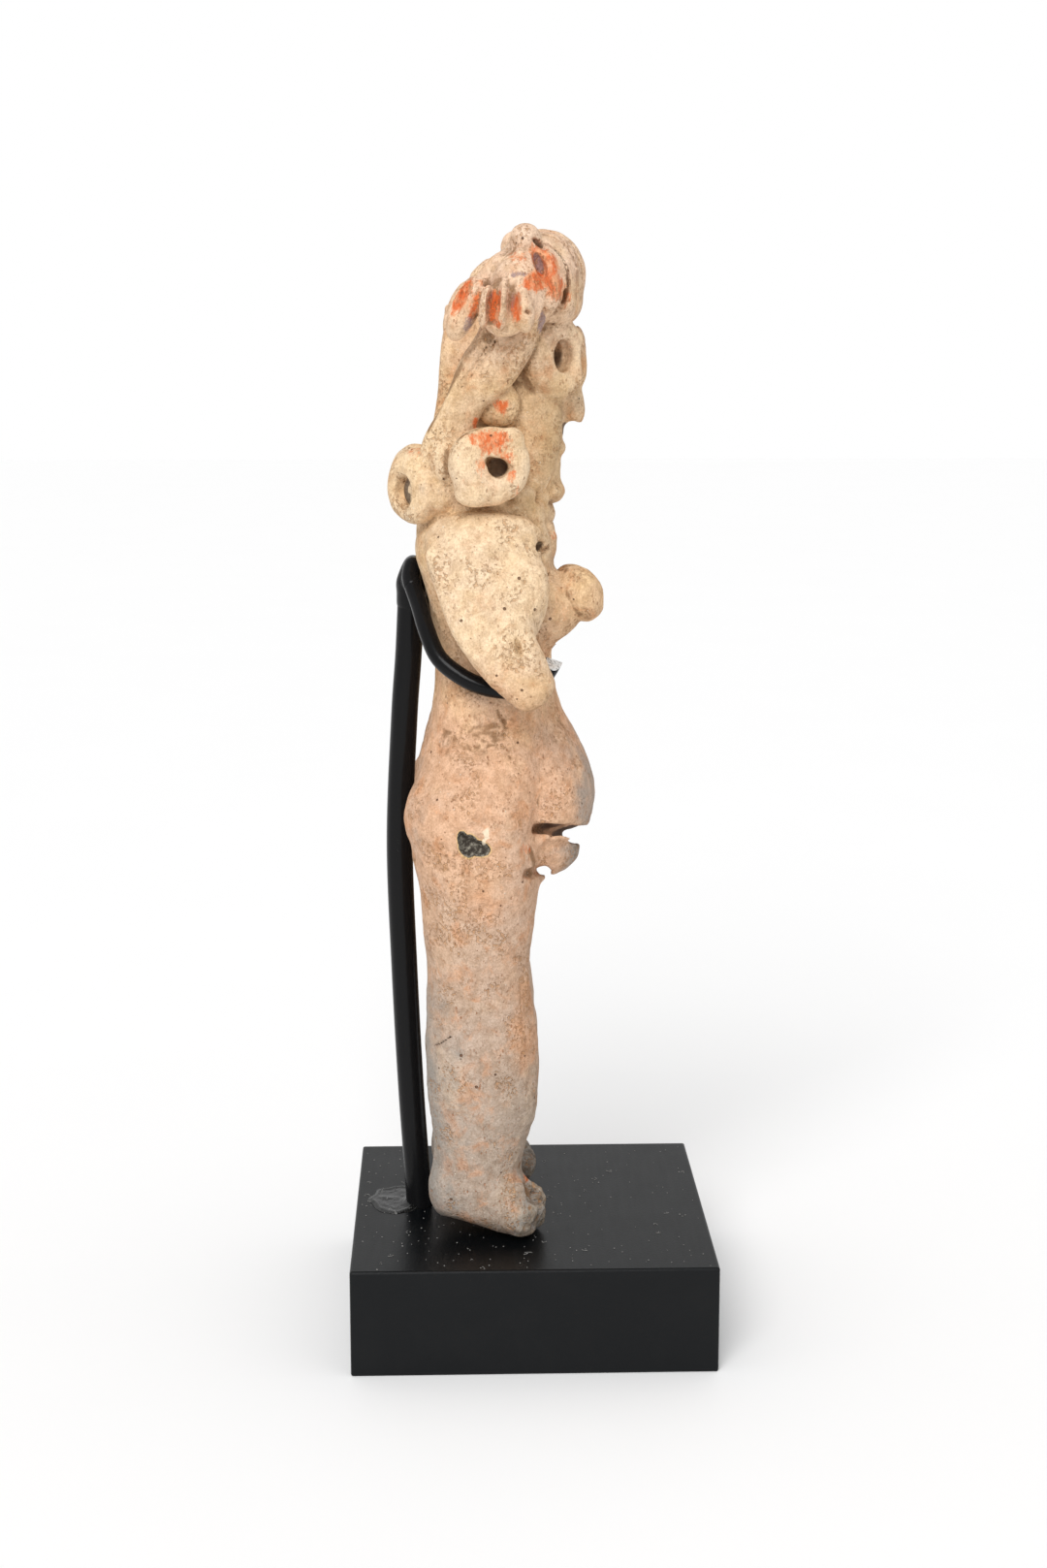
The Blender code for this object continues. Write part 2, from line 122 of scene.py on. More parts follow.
# Turn round the trunk from the back, height, and slack beyond the wire's fit.
WIRE_COURSE = (
    (5, 115.0, 0.2),
    (16, 111.0, 0),
    (33, 107.1, 0.3),
    (50, 103.1, 0.6),
    (67, 100.4, 0),
    (84, 98.6, 0),
    (96, 97.9, 0),
    (115, 98.4, 0),
    (128, 100.2, 0),
    (142, 102.6, 0),
)
WIRE_FIT = 0.6 * MILLIMETRE
# The camera stands off the figure's right side. Its place is from the middle of the block's top.
CAMERA_PLACE = (-0.40845, 0.01353, 0.15694)
CAMERA_TURN = 1.75  # degrees to the right of +X
CAMERA_DIP = 10.86  # degrees below the horizon
SENSOR_WIDTH = 36  # in millimetres
KEY_DIRECTION = (0.73, -0.20, -0.66)
FLOOR_HALF = 3.0
# The corners of the grid that the clay is shaped in, in parts.
CLAY_GRID = (-31, -22, -2), (31, 19.5, 177)
BRAZE_GRID = (-7.4, 6, 106), (7.4, 20, 122)
BRAZE_STEP = 0.2


def smooth_rows(rows, steps):
    """Rows of numbers read from a smooth curve through the given rows."""
    found = []
    last = len(rows) - 1
    for i in range(last):
        around = (rows[max(i - 1, 0)], rows[i], rows[i + 1], rows[min(i + 2, last)])
        for k in range(steps):
            t = k / steps
            weights = (
                -t / 2 + t**2 - t**3 / 2,
                1 - 2.5 * t**2 + 1.5 * t**3,
                t / 2 + 2 * t**2 - 1.5 * t**3,
                -(t**2) / 2 + t**3 / 2,
            )
            found.append(tuple(sum(w * n for w, n in zip(weights, column)) for column in zip(*around)))
    found.append(tuple(rows[-1]))
    return found


def row_at(rows, height):
    """The row of a smooth outline that is nearest to a height, which is its first figure."""
    return min(smooth_rows(rows, 16), key=lambda row: abs(row[0] - height))


def corner_power(squareness):
    return 1 - 0.6 * squareness


def oval_distance(across, along, beyond, wide, deep, cap, squareness=0.0):
    """About how far points lie outside an oval form, from their place in it and its half sizes there."""
    u, v, w = across / wide, along / deep, beyond / cap
    power = 2 / corner_power(squareness)
    if squareness:
        section = (np.abs(u) ** power + np.abs(v) ** power) ** (2 / power)
    else:
        section = u * u + v * v
    share = np.sqrt(section + w * w) + 1e-6
    steepness = np.sqrt((u / wide) ** 2 + (v / deep) ** 2 + (w / cap) ** 2) + 1e-6
    return share * (share - 1) / steepness


class Pellet:
    """A pressed ball of clay: its centre, its half sizes, and its turns about X and Z in degrees."""

    def __init__(self, x, y, z, wide, deep, high, tilt=0, turn=0):
        self.centre = np.array((x, y, z), float)
        self.half = np.array((wide, deep, high), float)
        self.axes = np.array(Euler((math.radians(tilt), 0, math.radians(turn))).to_matrix())
        reach = np.abs(self.axes) @ self.half
        self.low = self.centre - reach
        self.high = self.centre + reach
        self.pieces = (self,)

    def distance(self, x, y, z):
        x, y, z = x - self.centre[0], y - self.centre[1], z - self.centre[2]
        local = [self.axes[0][i] * x + self.axes[1][i] * y + self.axes[2][i] * z for i in range(3)]
        return oval_distance(*local, *self.half)


class Segment:
    """A stretch of a limb, between two of its rows."""

    def __init__(self, start, end, wide, squareness, roundness):
        self.start = np.array(start[:3])
        run = np.array(end[:3]) - self.start
        self.length = float(np.linalg.norm(run))
        self.forward = run / self.length
        wide = np.array(wide) - self.forward * np.dot(self.forward, wide)
        self.wide = wide / np.linalg.norm(wide)
        self.deep = np.cross(self.forward, self.wide)
        self.halves = (start[3:5], end[3:5])
        self.squareness = squareness
        self.roundness = roundness
        reach = max(*start[3:5], *end[3:5])
        self.low = np.minimum(start[:3], end[:3]) - reach
        self.high = np.maximum(start[:3], end[:3]) + reach

    def distance(self, x, y, z):
        x, y, z = x - self.start[0], y - self.start[1], z - self.start[2]
        along = self.forward[0] * x + self.forward[1] * y + self.forward[2] * z
        share = np.clip(along / self.length, 0, 1)
        (wide_0, deep_0), (wide_1, deep_1) = self.halves
        wide = wide_0 + (wide_1 - wide_0) * share
        deep = deep_0 + (deep_1 - deep_0) * share
        u = self.wide[0] * x + self.wide[1] * y + self.wide[2] * z
        v = self.deep[0] * x + self.deep[1] * y + self.deep[2] * z
        cap = self.roundness * np.minimum(wide, deep)
        return oval_distance(u, v, along - share * self.length, wide, deep, cap, self.squareness)


class Limb:
    """A form with oval sections through stations of (x, y, z, half width towards across, half depth)."""

    def __init__(self, stations, squareness=0.0, roundness=0.8, across=(1, 0, 0), steps=4):
        rows = smooth_rows(stations, steps)
        self.pieces = [Segment(a, b, across, squareness, roundness) for a, b in zip(rows, rows[1:])]
        self.low = np.min([piece.low for piece in self.pieces], axis=0)
        self.high = np.max([piece.high for piece in self.pieces], axis=0)


class Column:
    """An upright form through rows of (height, front, back, half width)."""

    def __init__(self, outline, squareness=0.0, roundness=0.35):
        self.rows = np.array(sorted(smooth_rows(outline, 6)), float)
        self.squareness = squareness
        self.roundness = roundness
        heights, front, back, wide = self.rows.T
        self.low = np.array((-wide.max(), front.min(), heights[0] - 4))
        self.high = np.array((wide.max(), back.max(), heights[-1] + 4))
        self.pieces = (self,)

    def distance(self, x, y, z):
        heights, front, back, wide = self.rows.T
        middle = np.interp(z, heights, (front + back) / 2)
        deep = np.interp(z, heights, (back - front) / 2)
        wide = np.interp(z, heights, wide)
        beyond = z - np.clip(z, heights[0], heights[-1])
        cap = self.roundness * np.minimum(wide, deep)
        return oval_distance(x, y - middle, beyond, wide, deep, cap, self.squareness)


class PunchedDisc:
    """A thick disc of clay with a round edge and a punched hole. outer and hole are half sizes."""

    def __init__(self, centre, facing, outer, hole, thickness, shift=(0, 0), turn=0.0, floor=-0.2):
        self.floor = floor * thickness
        self.centre = np.array(centre, float)
        forward = Vector(facing).to_track_quat("Z", "Y").to_matrix()
        self.axes = np.array(forward @ Matrix.Rotation(math.radians(turn), 3, "Z"))
        self.outer, self.hole, self.thickness, self.shift = outer, hole, thickness, shift
        reach = max(*outer, thickness)
        self.low = self.centre - reach
        self.high = self.centre + reach
        self.pieces = (self,)

    def distance(self, x, y, z):
        x, y, z = x - self.centre[0], y - self.centre[1], z - self.centre[2]
        u, v, w = (self.axes[0][i] * x + self.axes[1][i] * y + self.axes[2][i] * z for i in range(3))
        edge = 0.4 * self.thickness
        # The face dishes a little towards the hole.
        dish = 0.35 * np.exp(-((u - self.shift[0]) ** 2 + (v - self.shift[1]) ** 2) / 9)
        rim = oval_distance(u, v, 0, *self.outer, 1.0) + edge
        face = np.abs(w) - (0.5 * self.thickness - np.where(w > 0, dish, 0)) + edge
        outside = np.sqrt(np.maximum(rim, 0) ** 2 + np.maximum(face, 0) ** 2)
        solid = outside + np.minimum(np.maximum(rim, face), 0)
        hole = oval_distance(u - self.shift[0], v - self.shift[1], 0, *self.hole, 1.0)
        well = np.maximum(hole, self.floor - w)
        return -smooth_least(edge - solid, well, 0.5)


def smooth_least(a, b, blend):
    """The lesser of two distances, rounded where they are within blend of each other."""
    near = np.maximum(blend - np.abs(a - b), 0) / blend
    return np.minimum(a, b) - near * near * blend / 4


class SkinField:
    """Distances to a piece's skin on a grid, in parts, below zero inside it."""

    FAR = 6.0

    def __init__(self, low, high, step):
        self.step = step
        self.axes = [np.arange(a, b + step, step, dtype=np.float32) for a, b in zip(low, high)]
        self.values = np.full([len(axis) for axis in self.axes], self.FAR, np.float32)

    def window(self, low, high, margin):
        """The part of the grid between two corners, with its coordinates."""
        cut = []
        for axis, a, b in zip(self.axes, low, high):
            cut.append(slice(int(np.searchsorted(axis, a - margin)), int(np.searchsorted(axis, b + margin))))
        x, y, z = (axis[part] for axis, part in zip(self.axes, cut))
        return tuple(cut), (x[:, None, None], y[None, :, None], z[None, None, :])

    def distances(self, form, margin):
        cut, _ = self.window(form.low, form.high, margin)
        found = np.full(self.values[cut].shape, self.FAR, np.float32)
        for piece in form.pieces:
            part, where = self.window(piece.low, piece.high, margin)
            inner = tuple(
                slice(max(p.start - c.start, 0), max(p.stop - c.start, 0)) for p, c in zip(part, cut)
            )
            np.minimum(found[inner], piece.distance(*where), out=found[inner])
        return cut, found

    def add(self, form, blend):
        cut, found = self.distances(form, blend + 1)
        self.values[cut] = smooth_least(self.values[cut], found, blend)

    def cut(self, form, blend):
        cut, found = self.distances(form, blend + 1)
        self.values[cut] = -smooth_least(-self.values[cut], found, blend)

    def skin(self):
        """Points and four-sided faces along the zero level, with one point in each cell that it crosses."""
        solid = self.values < 0
        near = [slice(None, -1), slice(1, None)]
        count = sum(
            solid[near[i], near[j], near[k]].astype(np.int8) for i, j, k in np.ndindex(2, 2, 2)
        )
        crossed = (count > 0) & (count < 8)
        cells = np.argwhere(crossed)
        index = np.full(crossed.shape, -1, np.int32)
        index[crossed] = np.arange(len(cells), dtype=np.int32)
        total = np.zeros((len(cells), 3))
        number = np.zeros(len(cells))
        for axis in range(3):
            for offset in np.ndindex(2, 2, 2):
                if offset[axis]:
                    continue
                first = cells + offset
                second = first.copy()
                second[:, axis] += 1
                a = self.values[tuple(first.T)]
                b = self.values[tuple(second.T)]
                crosses = (a < 0) != (b < 0)
                share = np.where(crosses, a / np.where(crosses, a - b, 1), 0)
                point = np.array(offset, float)[None, :].repeat(len(cells), 0)
                point[:, axis] += share
                total += point * crosses[:, None]
                number += crosses
        origin = np.array([axis[0] for axis in self.axes])
        points = origin + self.step * (cells + total / number[:, None])
        faces = []
        for axis in range(3):
            first = np.take(solid, range(solid.shape[axis] - 1), axis)
            second = np.take(solid, range(1, solid.shape[axis]), axis)
            edges = np.argwhere(first != second)
            outward = first[tuple(edges.T)]
            side, other = [(1, 2), (2, 0), (0, 1)][axis]
            ring = []
            for a, b in ((-1, -1), (0, -1), (0, 0), (-1, 0)):
                cell = edges.copy()
                cell[:, side] += a
                cell[:, other] += b
                ring.append(index[tuple(cell.T)])
            quads = np.stack(ring, 1)
            quads[~outward] = quads[~outward][:, ::-1]
            faces.append(quads)
        return points, np.concatenate(faces)

    def crowding(self, points, reach):
        """The share of clay in a box round each point, which is over a half in hollows."""
        solid = (self.values < 0).astype(np.float32)
        width = max(int(reach / self.step), 1)
        for axis in range(3):
            total = np.cumsum(solid, axis=axis)
            cells = np.arange(total.shape[axis])
            ahead = np.take(total, np.minimum(cells + width, len(cells) - 1), axis)
            behind = np.take(total, np.maximum(cells - width - 1, 0), axis)
            solid = (ahead - behind) / (2 * width + 1)
        origin = np.array([axis[0] for axis in self.axes])
        near = np.rint((points - origin) / self.step).astype(int)
        near = np.clip(near, 0, np.array(solid.shape) - 1)
        return solid[tuple(near.T)]


def add_trunk(clay):
    clay.add(Column(TRUNK, TRUNK_SQUARENESS), 0.5)
    clay.add(Column(BELLY), 3.0)
    clay.add(Column(BELLY_FOLD, 0.35, 0.2), 1.0)
    for side in SIDES:
        clay.add(Pellet(side * 11.0, 5.4, 74.4, 11.8, 9.0, 7.8, 14), 3.0)
        # The hip's edge, and the roll of flesh below the buttock.
        clay.add(Pellet(side * 12.0, 4.6, 66.8, 10.6, 7.0, 5.0, 20), 2.5)


def add_leg(clay, side):
    stations = (
        (side * 10.9, 1.3, 67, 12.1, 10.0),
        (side * 11.1, 1.4, 57, 11.6, 9.6),
        (side * 11.2, 1.5, 49, 10.7, 9.0),
        (side * 11.2, 1.2, 42, 10.1, 9.2),
        (side * 11.0, 0.7, 34, 9.6, 9.8),
        (side * 11.0, 0.8, 24, 8.8, 9.5),
        (side * 11.1, 1.4, 15, 7.8, 8.0),
        (side * 11.2, 1.8, 9, 7.4, 7.8),
    )
    clay.add(Limb(stations, squareness=0.2), 3.0)


def add_foot(clay, side):
    """The right foot's toes are worn and lumpy. The left foot lies lower."""
    if side == LEFT:
        stations = (
            (11.2, 6.2, 6.0, 6.4, 4.4),
            (12.2, 1.8, 5.4, 6.7, 4.5),
            (13.4, -3.0, 4.1, 6.6, 3.9),
            (14.2, -7.0, 3.3, 6.0, 3.1),
        )
        clay.add(Limb(stations, squareness=0.25, roundness=0.75), 2.0)
        return
    stations = (
        (-11.2, 6.4, 6.8, 6.6, 4.6),
        (-12.2, 1.8, 6.3, 7.0, 5.0),
        (-13.8, -3.6, 5.0, 7.1, 5.0),
        (-14.8, -6.9, 3.7, 6.5, 4.0),
    )
    clay.add(Limb(stations, squareness=0.25, roundness=0.75), 2.2)
    lumps = (
        (-18.6, -2.6, 8.0, 1.6, 1.1, 0.9, 30),
        (-18.2, -4.7, 8.4, 1.8, 1.2, 1.1, -20),
        (-16.6, -5.6, 9.0, 2.4, 1.2, 1.0, 0),
        (-18.8, -0.4, 6.6, 1.6, 1.4, 0.8, 20),
        (-15.2, -9.0, 4.6, 3.4, 1.2, 2.4, 20),
    )
    for lump in lumps:
        clay.add(Pellet(*lump), 0.7)


def add_arm(clay, side):
    """A flat stump, wide at the shoulder, that stands off the waist so that a wire passes behind it."""
    stations = (
        (side * 14.5, 0.0, 123.6, 5.0, 9.4),
        (side * 18.0, 0.0, 118.0, 4.8, 9.0),
        (side * 21.0, -0.7, 113.0, 4.3, 7.5),
        (side * 23.2, -1.5, 108.5, 3.9, 6.3),
        (side * 24.6, -4.3, 103.4, 3.6, 5.4),
        (side * 25.3, -6.9, 99.8, 3.2, 4.4),
        (side * 25.6, -8.0, 98.6, 2.8, 3.9),
    )
    clay.add(Limb(stations, squareness=0.15), 1.6)
    clay.add(Pellet(side * 19.6, -7.4, 112.4, 3.6, 3.0, 7.0, 12), 2.6)
    rim = (
        (side * 18.4, 8.4, 121.0, 1.5, 1.3),
        (side * 21.0, 7.2, 116.0, 1.5, 1.3),
        (side * 23.4, 5.4, 110.6, 1.4, 1.2),
        (side * 25.2, 2.2, 105.2, 1.3, 1.1),
        (side * 26.2, -1.6, 100.8, 1.2, 1.0),
    )
    clay.add(Limb(rim), 1.1)
    dents = (
        (side * 22.6, -1.9, 121.2, 1.6, 3.6, 2.8, 0),
        (side * 25.0, 1.6, 116.2, 1.2, 3.0, 5.0, 16),
        (side * 27.2, 0.0, 108.6, 1.0, 2.0, 4.0, 24),
    )
    for dent in dents:
        clay.cut(Pellet(*dent), 1.2)


def add_breast(clay, side):
    """The left breast hangs lower than the right one."""
    drop = 1.9 if side == LEFT else 0
    stations = (
        (side * 8.6, -6.5, 110.8 - drop / 2, 8.6, 8.4),
        (side * 9.6, -11.0, 111.4 - drop, 6.6, 6.2),
        (side * 10.6, -14.6, 113.0 - drop, 4.4, 4.0),
    )
    clay.add(Limb(stations), 1.6)
    clay.add(Pellet(side * 11.0, -16.4, 113.5 - drop, 4.9, 3.8, 5.0, -24, side * 8), 0.3)


def add_head(clay):
    clay.add(Column(HEAD, squareness=0.2), 1.0)
    clay.add(Pellet(0, -13.9, 145.2, 3.6, 3.3, 4.6), 1.2)
    clay.add(Pellet(0, -15.4, 143.4, 3.9, 2.0, 2.4), 0.8)
    clay.add(Pellet(0, -13.0, 137.6, 5.0, 1.3, 1.3), 0.8)
    clay.add(Pellet(0, -12.0, 130.2, 6.4, 2.1, 2.0), 0.8)
    clay.add(Pellet(0, -16.2, 153.0, 3.4, 1.8, 5.4), 0.8)
    for side in SIDES:
        centre, facing, shift = (side * 9.0, -11.8, 152.8), (side * 0.76, -0.65, 0.04), (-side * 0.2, 0.2)
        ring = PunchedDisc(centre, facing, (6.3, 6.7), (2.3, 2.9), 5.4, shift, side * 8, floor=-0.3)
        clay.add(ring, 0.4)
        # Cheek, and the smooth pad behind it.
        clay.add(Pellet(side * 8.2, -8.2, 140.0, 3.7, 4.6, 9.6, 4), 2.2)
        clay.add(Pellet(side * 12.0, -2.0, 145.2, 2.2, 3.9, 4.0, 0, side * 10), 1.0)


def add_ear_spools(clay):
    for side in SIDES:
        clay.add(Pellet(side * 12.0, 1.5, 135.0, 5.0, 6.6, 6.2), 1.0)
        clay.add(Pellet(side * 7.5, 7.2, 131.0, 7.5, 6.2, 6.0), 1.0)
        clay.add(Pellet(side * 13.2, 6.4, 135.4, 3.6, 2.8, 4.4, -14), 0.5)
        front = PunchedDisc(
            (side * 17.6, -0.7, 135.2), (side, -0.18, 0.06), (6.6, 6.4), (1.9, 1.5), 6.4, (-side * 1.2, -0.3)
        )
        clay.add(front, 0.3)
        clay.add(Pellet(side * 19.2, -4.5, 139.8, 1.7, 2.0, 1.7), 1.6)
        clay.add(Pellet(side * 19.6, 2.4, 130.6, 1.8, 2.6, 1.8), 1.8)
        rear = PunchedDisc(
            (side * 9.4, 11.2, 131.4), (side * 0.62, 0.78, 0), (6.1, 6.4), (2.5, 3.0), 6.6, (side * 0.3, -0.6)
        )
        clay.add(rear, 0.3)


def add_hair_straps(clay):
    """The flat falls of hair from the side buns to the back of the neck. The left one hangs straighter."""
    right = (
        (-14.6, -5.0, 161, 3.4, 5.4),
        (-13.8, -3.6, 155.8, 3.4, 5.0),
        (-13.2, 0.1, 150, 3.2, 4.7),
        (-12.8, 2.9, 146, 3.0, 3.5),
        (-12.4, 4.9, 142.2, 2.9, 3.3),
        (-12.0, 7.0, 139.3, 2.9, 2.9),
        (-11.0, 8.2, 135, 3.2, 3.0),
    )
    left = (
        (14.6, 1.6, 161, 3.4, 5.0),
        (13.4, 2.2, 153, 3.4, 5.2),
        (12.2, 3.0, 145, 3.4, 5.2),
        (11.0, 5.0, 138, 3.6, 4.6),
        (10.0, 7.2, 133, 4.0, 4.4),
    )
    for stations in (right, left):
        clay.add(Limb(stations, squareness=0.6, roundness=0.4), 0.4)
    # Cracks between the strands along the rear edge.
    for inward, deep in ((0.9, 0.7), (1.8, 0.45)):
        crack = (
            (-16.9, -0.1 - inward, 155.6, deep, 0.20),
            (-16.3, 3.2 - inward, 150.6, deep, 0.26),
            (-15.8, 6.3 - inward, 146.6, deep, 0.26),
            (-15.3, 8.3 - inward, 142.4, deep, 0.26),
            (-15.0, 9.4 - inward, 139.8, deep, 0.20),
        )
        clay.cut(Limb(crack), 0.15)


def add_necklace(clay):
    stations = []
    for turn in (-115, -75, -38, 0, 38, 75, 115):
        angle = math.radians(turn)
        stations.append((13.5 * math.sin(angle), -0.2 - 9.6 * math.cos(angle), 126.6, 2.5, 2.5))
    clay.add(Limb(stations, across=(0, 0, 1)), 0.5)
    for x in (-5.6, 0, 5.6):
        clay.add(Pellet(x, -11.0, 121.9, 2.3, 1.7, 3.6), 0.3)
    # Bits of clay that came loose from the necklace and stuck.
    bits = (-82, 129.6, 1.7), (-64, 124.4, 1.6), (-52, 129.8, 2.0), (-36, 124.2, 1.5), (-24, 129.0, 1.6)
    for turn, height, size in bits:
        angle = math.radians(turn)
        x, y = 13.6 * math.sin(angle), -0.2 - 10.4 * math.cos(angle)
        clay.add(Pellet(x, y, height, size * 1.2, size, size * 0.8, turn, turn), 0.6)


# Side buns on the right, which the left ones mirror: centre, half sizes, turn, and how far they blend.
BUNS = (
    (18.6, 3.1, 161.0, 3.6, 2.5, 5.7, 22, 0.3),
    (19.6, 1.9, 161.4, 2.8, 1.1, 5.0, 20, 0.5),
    (19.8, -3.3, 160.9, 3.6, 4.2, 4.7, 4, 0.2),
    (22.0, -0.3, 161.2, 2.6, 1.3, 3.9, 8, 0.6),
    (22.6, -2.95, 161.4, 2.8, 1.2, 4.4, 2, 0.6),
    (21.8, -6.4, 161.0, 2.8, 1.6, 3.9, -6, 0.6),
    (15.2, -7.9, 166.6, 4.4, 4.7, 4.8, -15, 0.4),
    (17.8, -6.6, 167.8, 2.2, 1.1, 3.4, -20, 0.7),
    (17.2, -11.0, 167.2, 2.2, 1.1, 3.4, -14, 0.7),
    (17.8, -10.2, 163.2, 2.4, 2.3, 2.7, 0, 0.7),
    (15.4, -6.8, 172.1, 3.2, 2.7, 2.8, 0, 0.2),
    (14.6, -2.3, 167.9, 3.0, 1.9, 2.2, 34, 0.5),
    (14.4, -0.9, 165.4, 3.2, 2.2, 3.0, 0, 0.8),
)
GASHES = (
    (22.2, 3.6, 163.0, 2.1, 0.95, 4.4, 26),
    (23.2, 1.9, 163.2, 1.8, 0.6, 1.7, 22),
    (24.6, -1.5, 162.0, 2.4, 1.05, 3.3, 6),
    (24.8, -4.8, 162.0, 2.6, 1.05, 3.2, -2),
    (23.8, -7.1, 160.4, 1.1, 0.8, 0.5, 30),
    (19.2, -8.9, 168.2, 2.3, 0.95, 2.5, -18),
    (14.4, -13.2, 164.2, 1.5, 0.6, 2.6, 4),
    (17.4, -9.0, 171.3, 3.0, 1.6, 0.35, 40),
)


def add_headdress(clay):
    roll = (
        (-18.0, -5.5, 163.6, 5.0, 6.0),
        (-10.0, -9.0, 165.9, 7.2, 7.6),
        (0, -10.0, 166.7, 7.5, 7.7),
        (10.0, -9.0, 165.9, 7.2, 7.6),
        (18.0, -5.5, 163.6, 5.0, 6.0),
    )
    clay.add(Limb(roll, across=(0, 1, 0)), 1.0)
    fringe = [(x, -12.8 + 0.012 * x * x, 162.4, 4.2, 4.4) for x in (-12, -6, 0, 6, 12)]
    clay.add(Limb(fringe, across=(0, 1, 0)), 0.8)
    for side in SIDES:
        rear = 0 if side == RIGHT else 0.8
        for x, y, *rest, blend in BUNS:
            clay.add(Pellet(side * x, y + rear, *rest), blend)
    # Half length, distance back, height and radius. The ends rise a little.
    for half_length, back, height, radius in ((13.4, -7.2, 171.3, 2.5), (13.6, -3.0, 167.6, 2.0)):
        ends = [(x * half_length, back, height + 0.9 * x * x, radius, radius) for x in (-1, -0.5, 0, 0.5, 1)]
        clay.add(Limb(ends, across=(0, 1, 0)), 0.3)


def cut_openings(clay):
    """What the maker pushed, slit or scraped away, and what has broken out since."""
    belly_break = (
        (-16.4, -8.4, 73.7, 2.4, 0.9),
        (-13.0, -12.3, 72.8, 3.6, 1.35),
        (-8.0, -16.4, 70.9, 4.6, 1.6),
        (0, -20.0, 69.0, 6.0, 1.9),
        (8.0, -16.4, 67.5, 4.6, 1.8),
        (13.0, -12.3, 67.3, 3.6, 1.5),
        (18.4, -9.4, 66.9, 3.2, 1.0),
    )
    clay.cut(Limb(belly_break, across=(0, 1, 0)), 0.3)
    under_fold = (
        (-20.0, -6.6, 66.4, 0.9, 0.7),
        (-14.0, -9.3, 65.5, 1.3, 0.9),
        (-8.0, -10.3, 64.4, 1.7, 1.1),
        (0, -10.9, 62.8, 1.6, 1.1),
        (8.0, -9.9, 61.0, 1.6, 1.1),
        (14.0, -8.9, 60.0, 1.2, 0.9),
        (20.0, -6.6, 59.2, 0.7, 0.5),
    )
    clay.cut(Limb(under_fold, across=(0, 1, 0)), 0.5)
    spine = (
        (0, 14.4, 124, 4.0, 3.0),
        (0, 12.8, 117, 4.2, 3.0),
        (0, 11.7, 109, 4.0, 3.0),
        (0, 11.4, 100, 3.4, 3.0),
        (0, 12.4, 92, 3.0, 3.0),
    )
    clay.cut(Limb(spine), 2.0)
    # The scraped hollow under the breasts.
    clay.cut(Pellet(0, -14.2, 104.6, 9.0, 3.2, 3.6), 1.5)
    clay.cut(Pellet(0, -15.3, 141.0, 7.0, 1.7, 1.3), 0.3)
    clay.cut(Pellet(0, -18.6, 153.4, 0.9, 1.6, 3.8), 0.3)
    for side in SIDES:
        rear = 0 if side == RIGHT else 0.8
        for x, y, *rest in GASHES:
            clay.cut(Pellet(side * x, y + rear, *rest), 0.3)
        clay.cut(Pellet(side * 20.8, -4.0, 134.9, 2.4, 0.9, 0.55), 0.3)
        clay.cut(Pellet(side * 20.4, -0.9, 136.0, 2.8, 1.0, 0.9, 20), 0.3)
        clay.cut(Pellet(side * 20.4, -2.6, 134.1, 2.8, 1.0, 0.7, -30), 0.3)
        clay.cut(Pellet(side * 7.6, -17.0, 153.0, 2.8, 1.1, 3.3), 0.3)
        clay.cut(Pellet(side * 9.4, -12.2, 153.0, 3.9, 1.8, 3.0, 0, -side * 40), 0.3)
        clay.cut(Pellet(side * 28.2, -5.2, 106.6, 1.5, 0.42, 2.3, -14), 0.2)
        band = (
            (side * 19.2, -9.7, 161.2, 0.8, 0.5),
            (side * 17.2, -9.6, 158.6, 0.8, 0.6),
            (side * 15.0, -9.2, 155.4, 0.8, 0.5),
        )
        clay.cut(Limb(band), 0.4)
        for toe in (-2.4, 0, 2.4):
            clay.cut(Pellet(side * 14.8 + toe * 1.3, -9.8, 5.4, 0.6, 1.9, 3.0, 24), 0.2)
    # The skin of the right foot has flaked off over the toes.
    clay.cut(Pellet(-15.6, -9.6, 9.4, 6.4, 4.2, 2.3, -52, 8), 0.15)
    # Grooves round the roll of the headdress.
    for x in (-15, -11.6, -8.2, -4.6, -1.2, 2.2, 5.6, 9.0, 12.4, 15.6):
        groove = []
        for turn in (-42, -15, 12, 40, 66, 90):
            angle = math.radians(turn)
            middle, height = -10.0 + 0.012 * x * x, 166.7 - 0.008 * x * x
            front, top = 7.6 - 0.006 * x * x, 7.6 - 0.004 * x * x
            groove.append((x, middle - front * math.cos(angle), height + top * math.sin(angle), 0.55, 0.8))
        clay.cut(Limb(groove), 0.35)
    for chip in CHIPS:
        clay.cut(Pellet(*chip), 0.2)


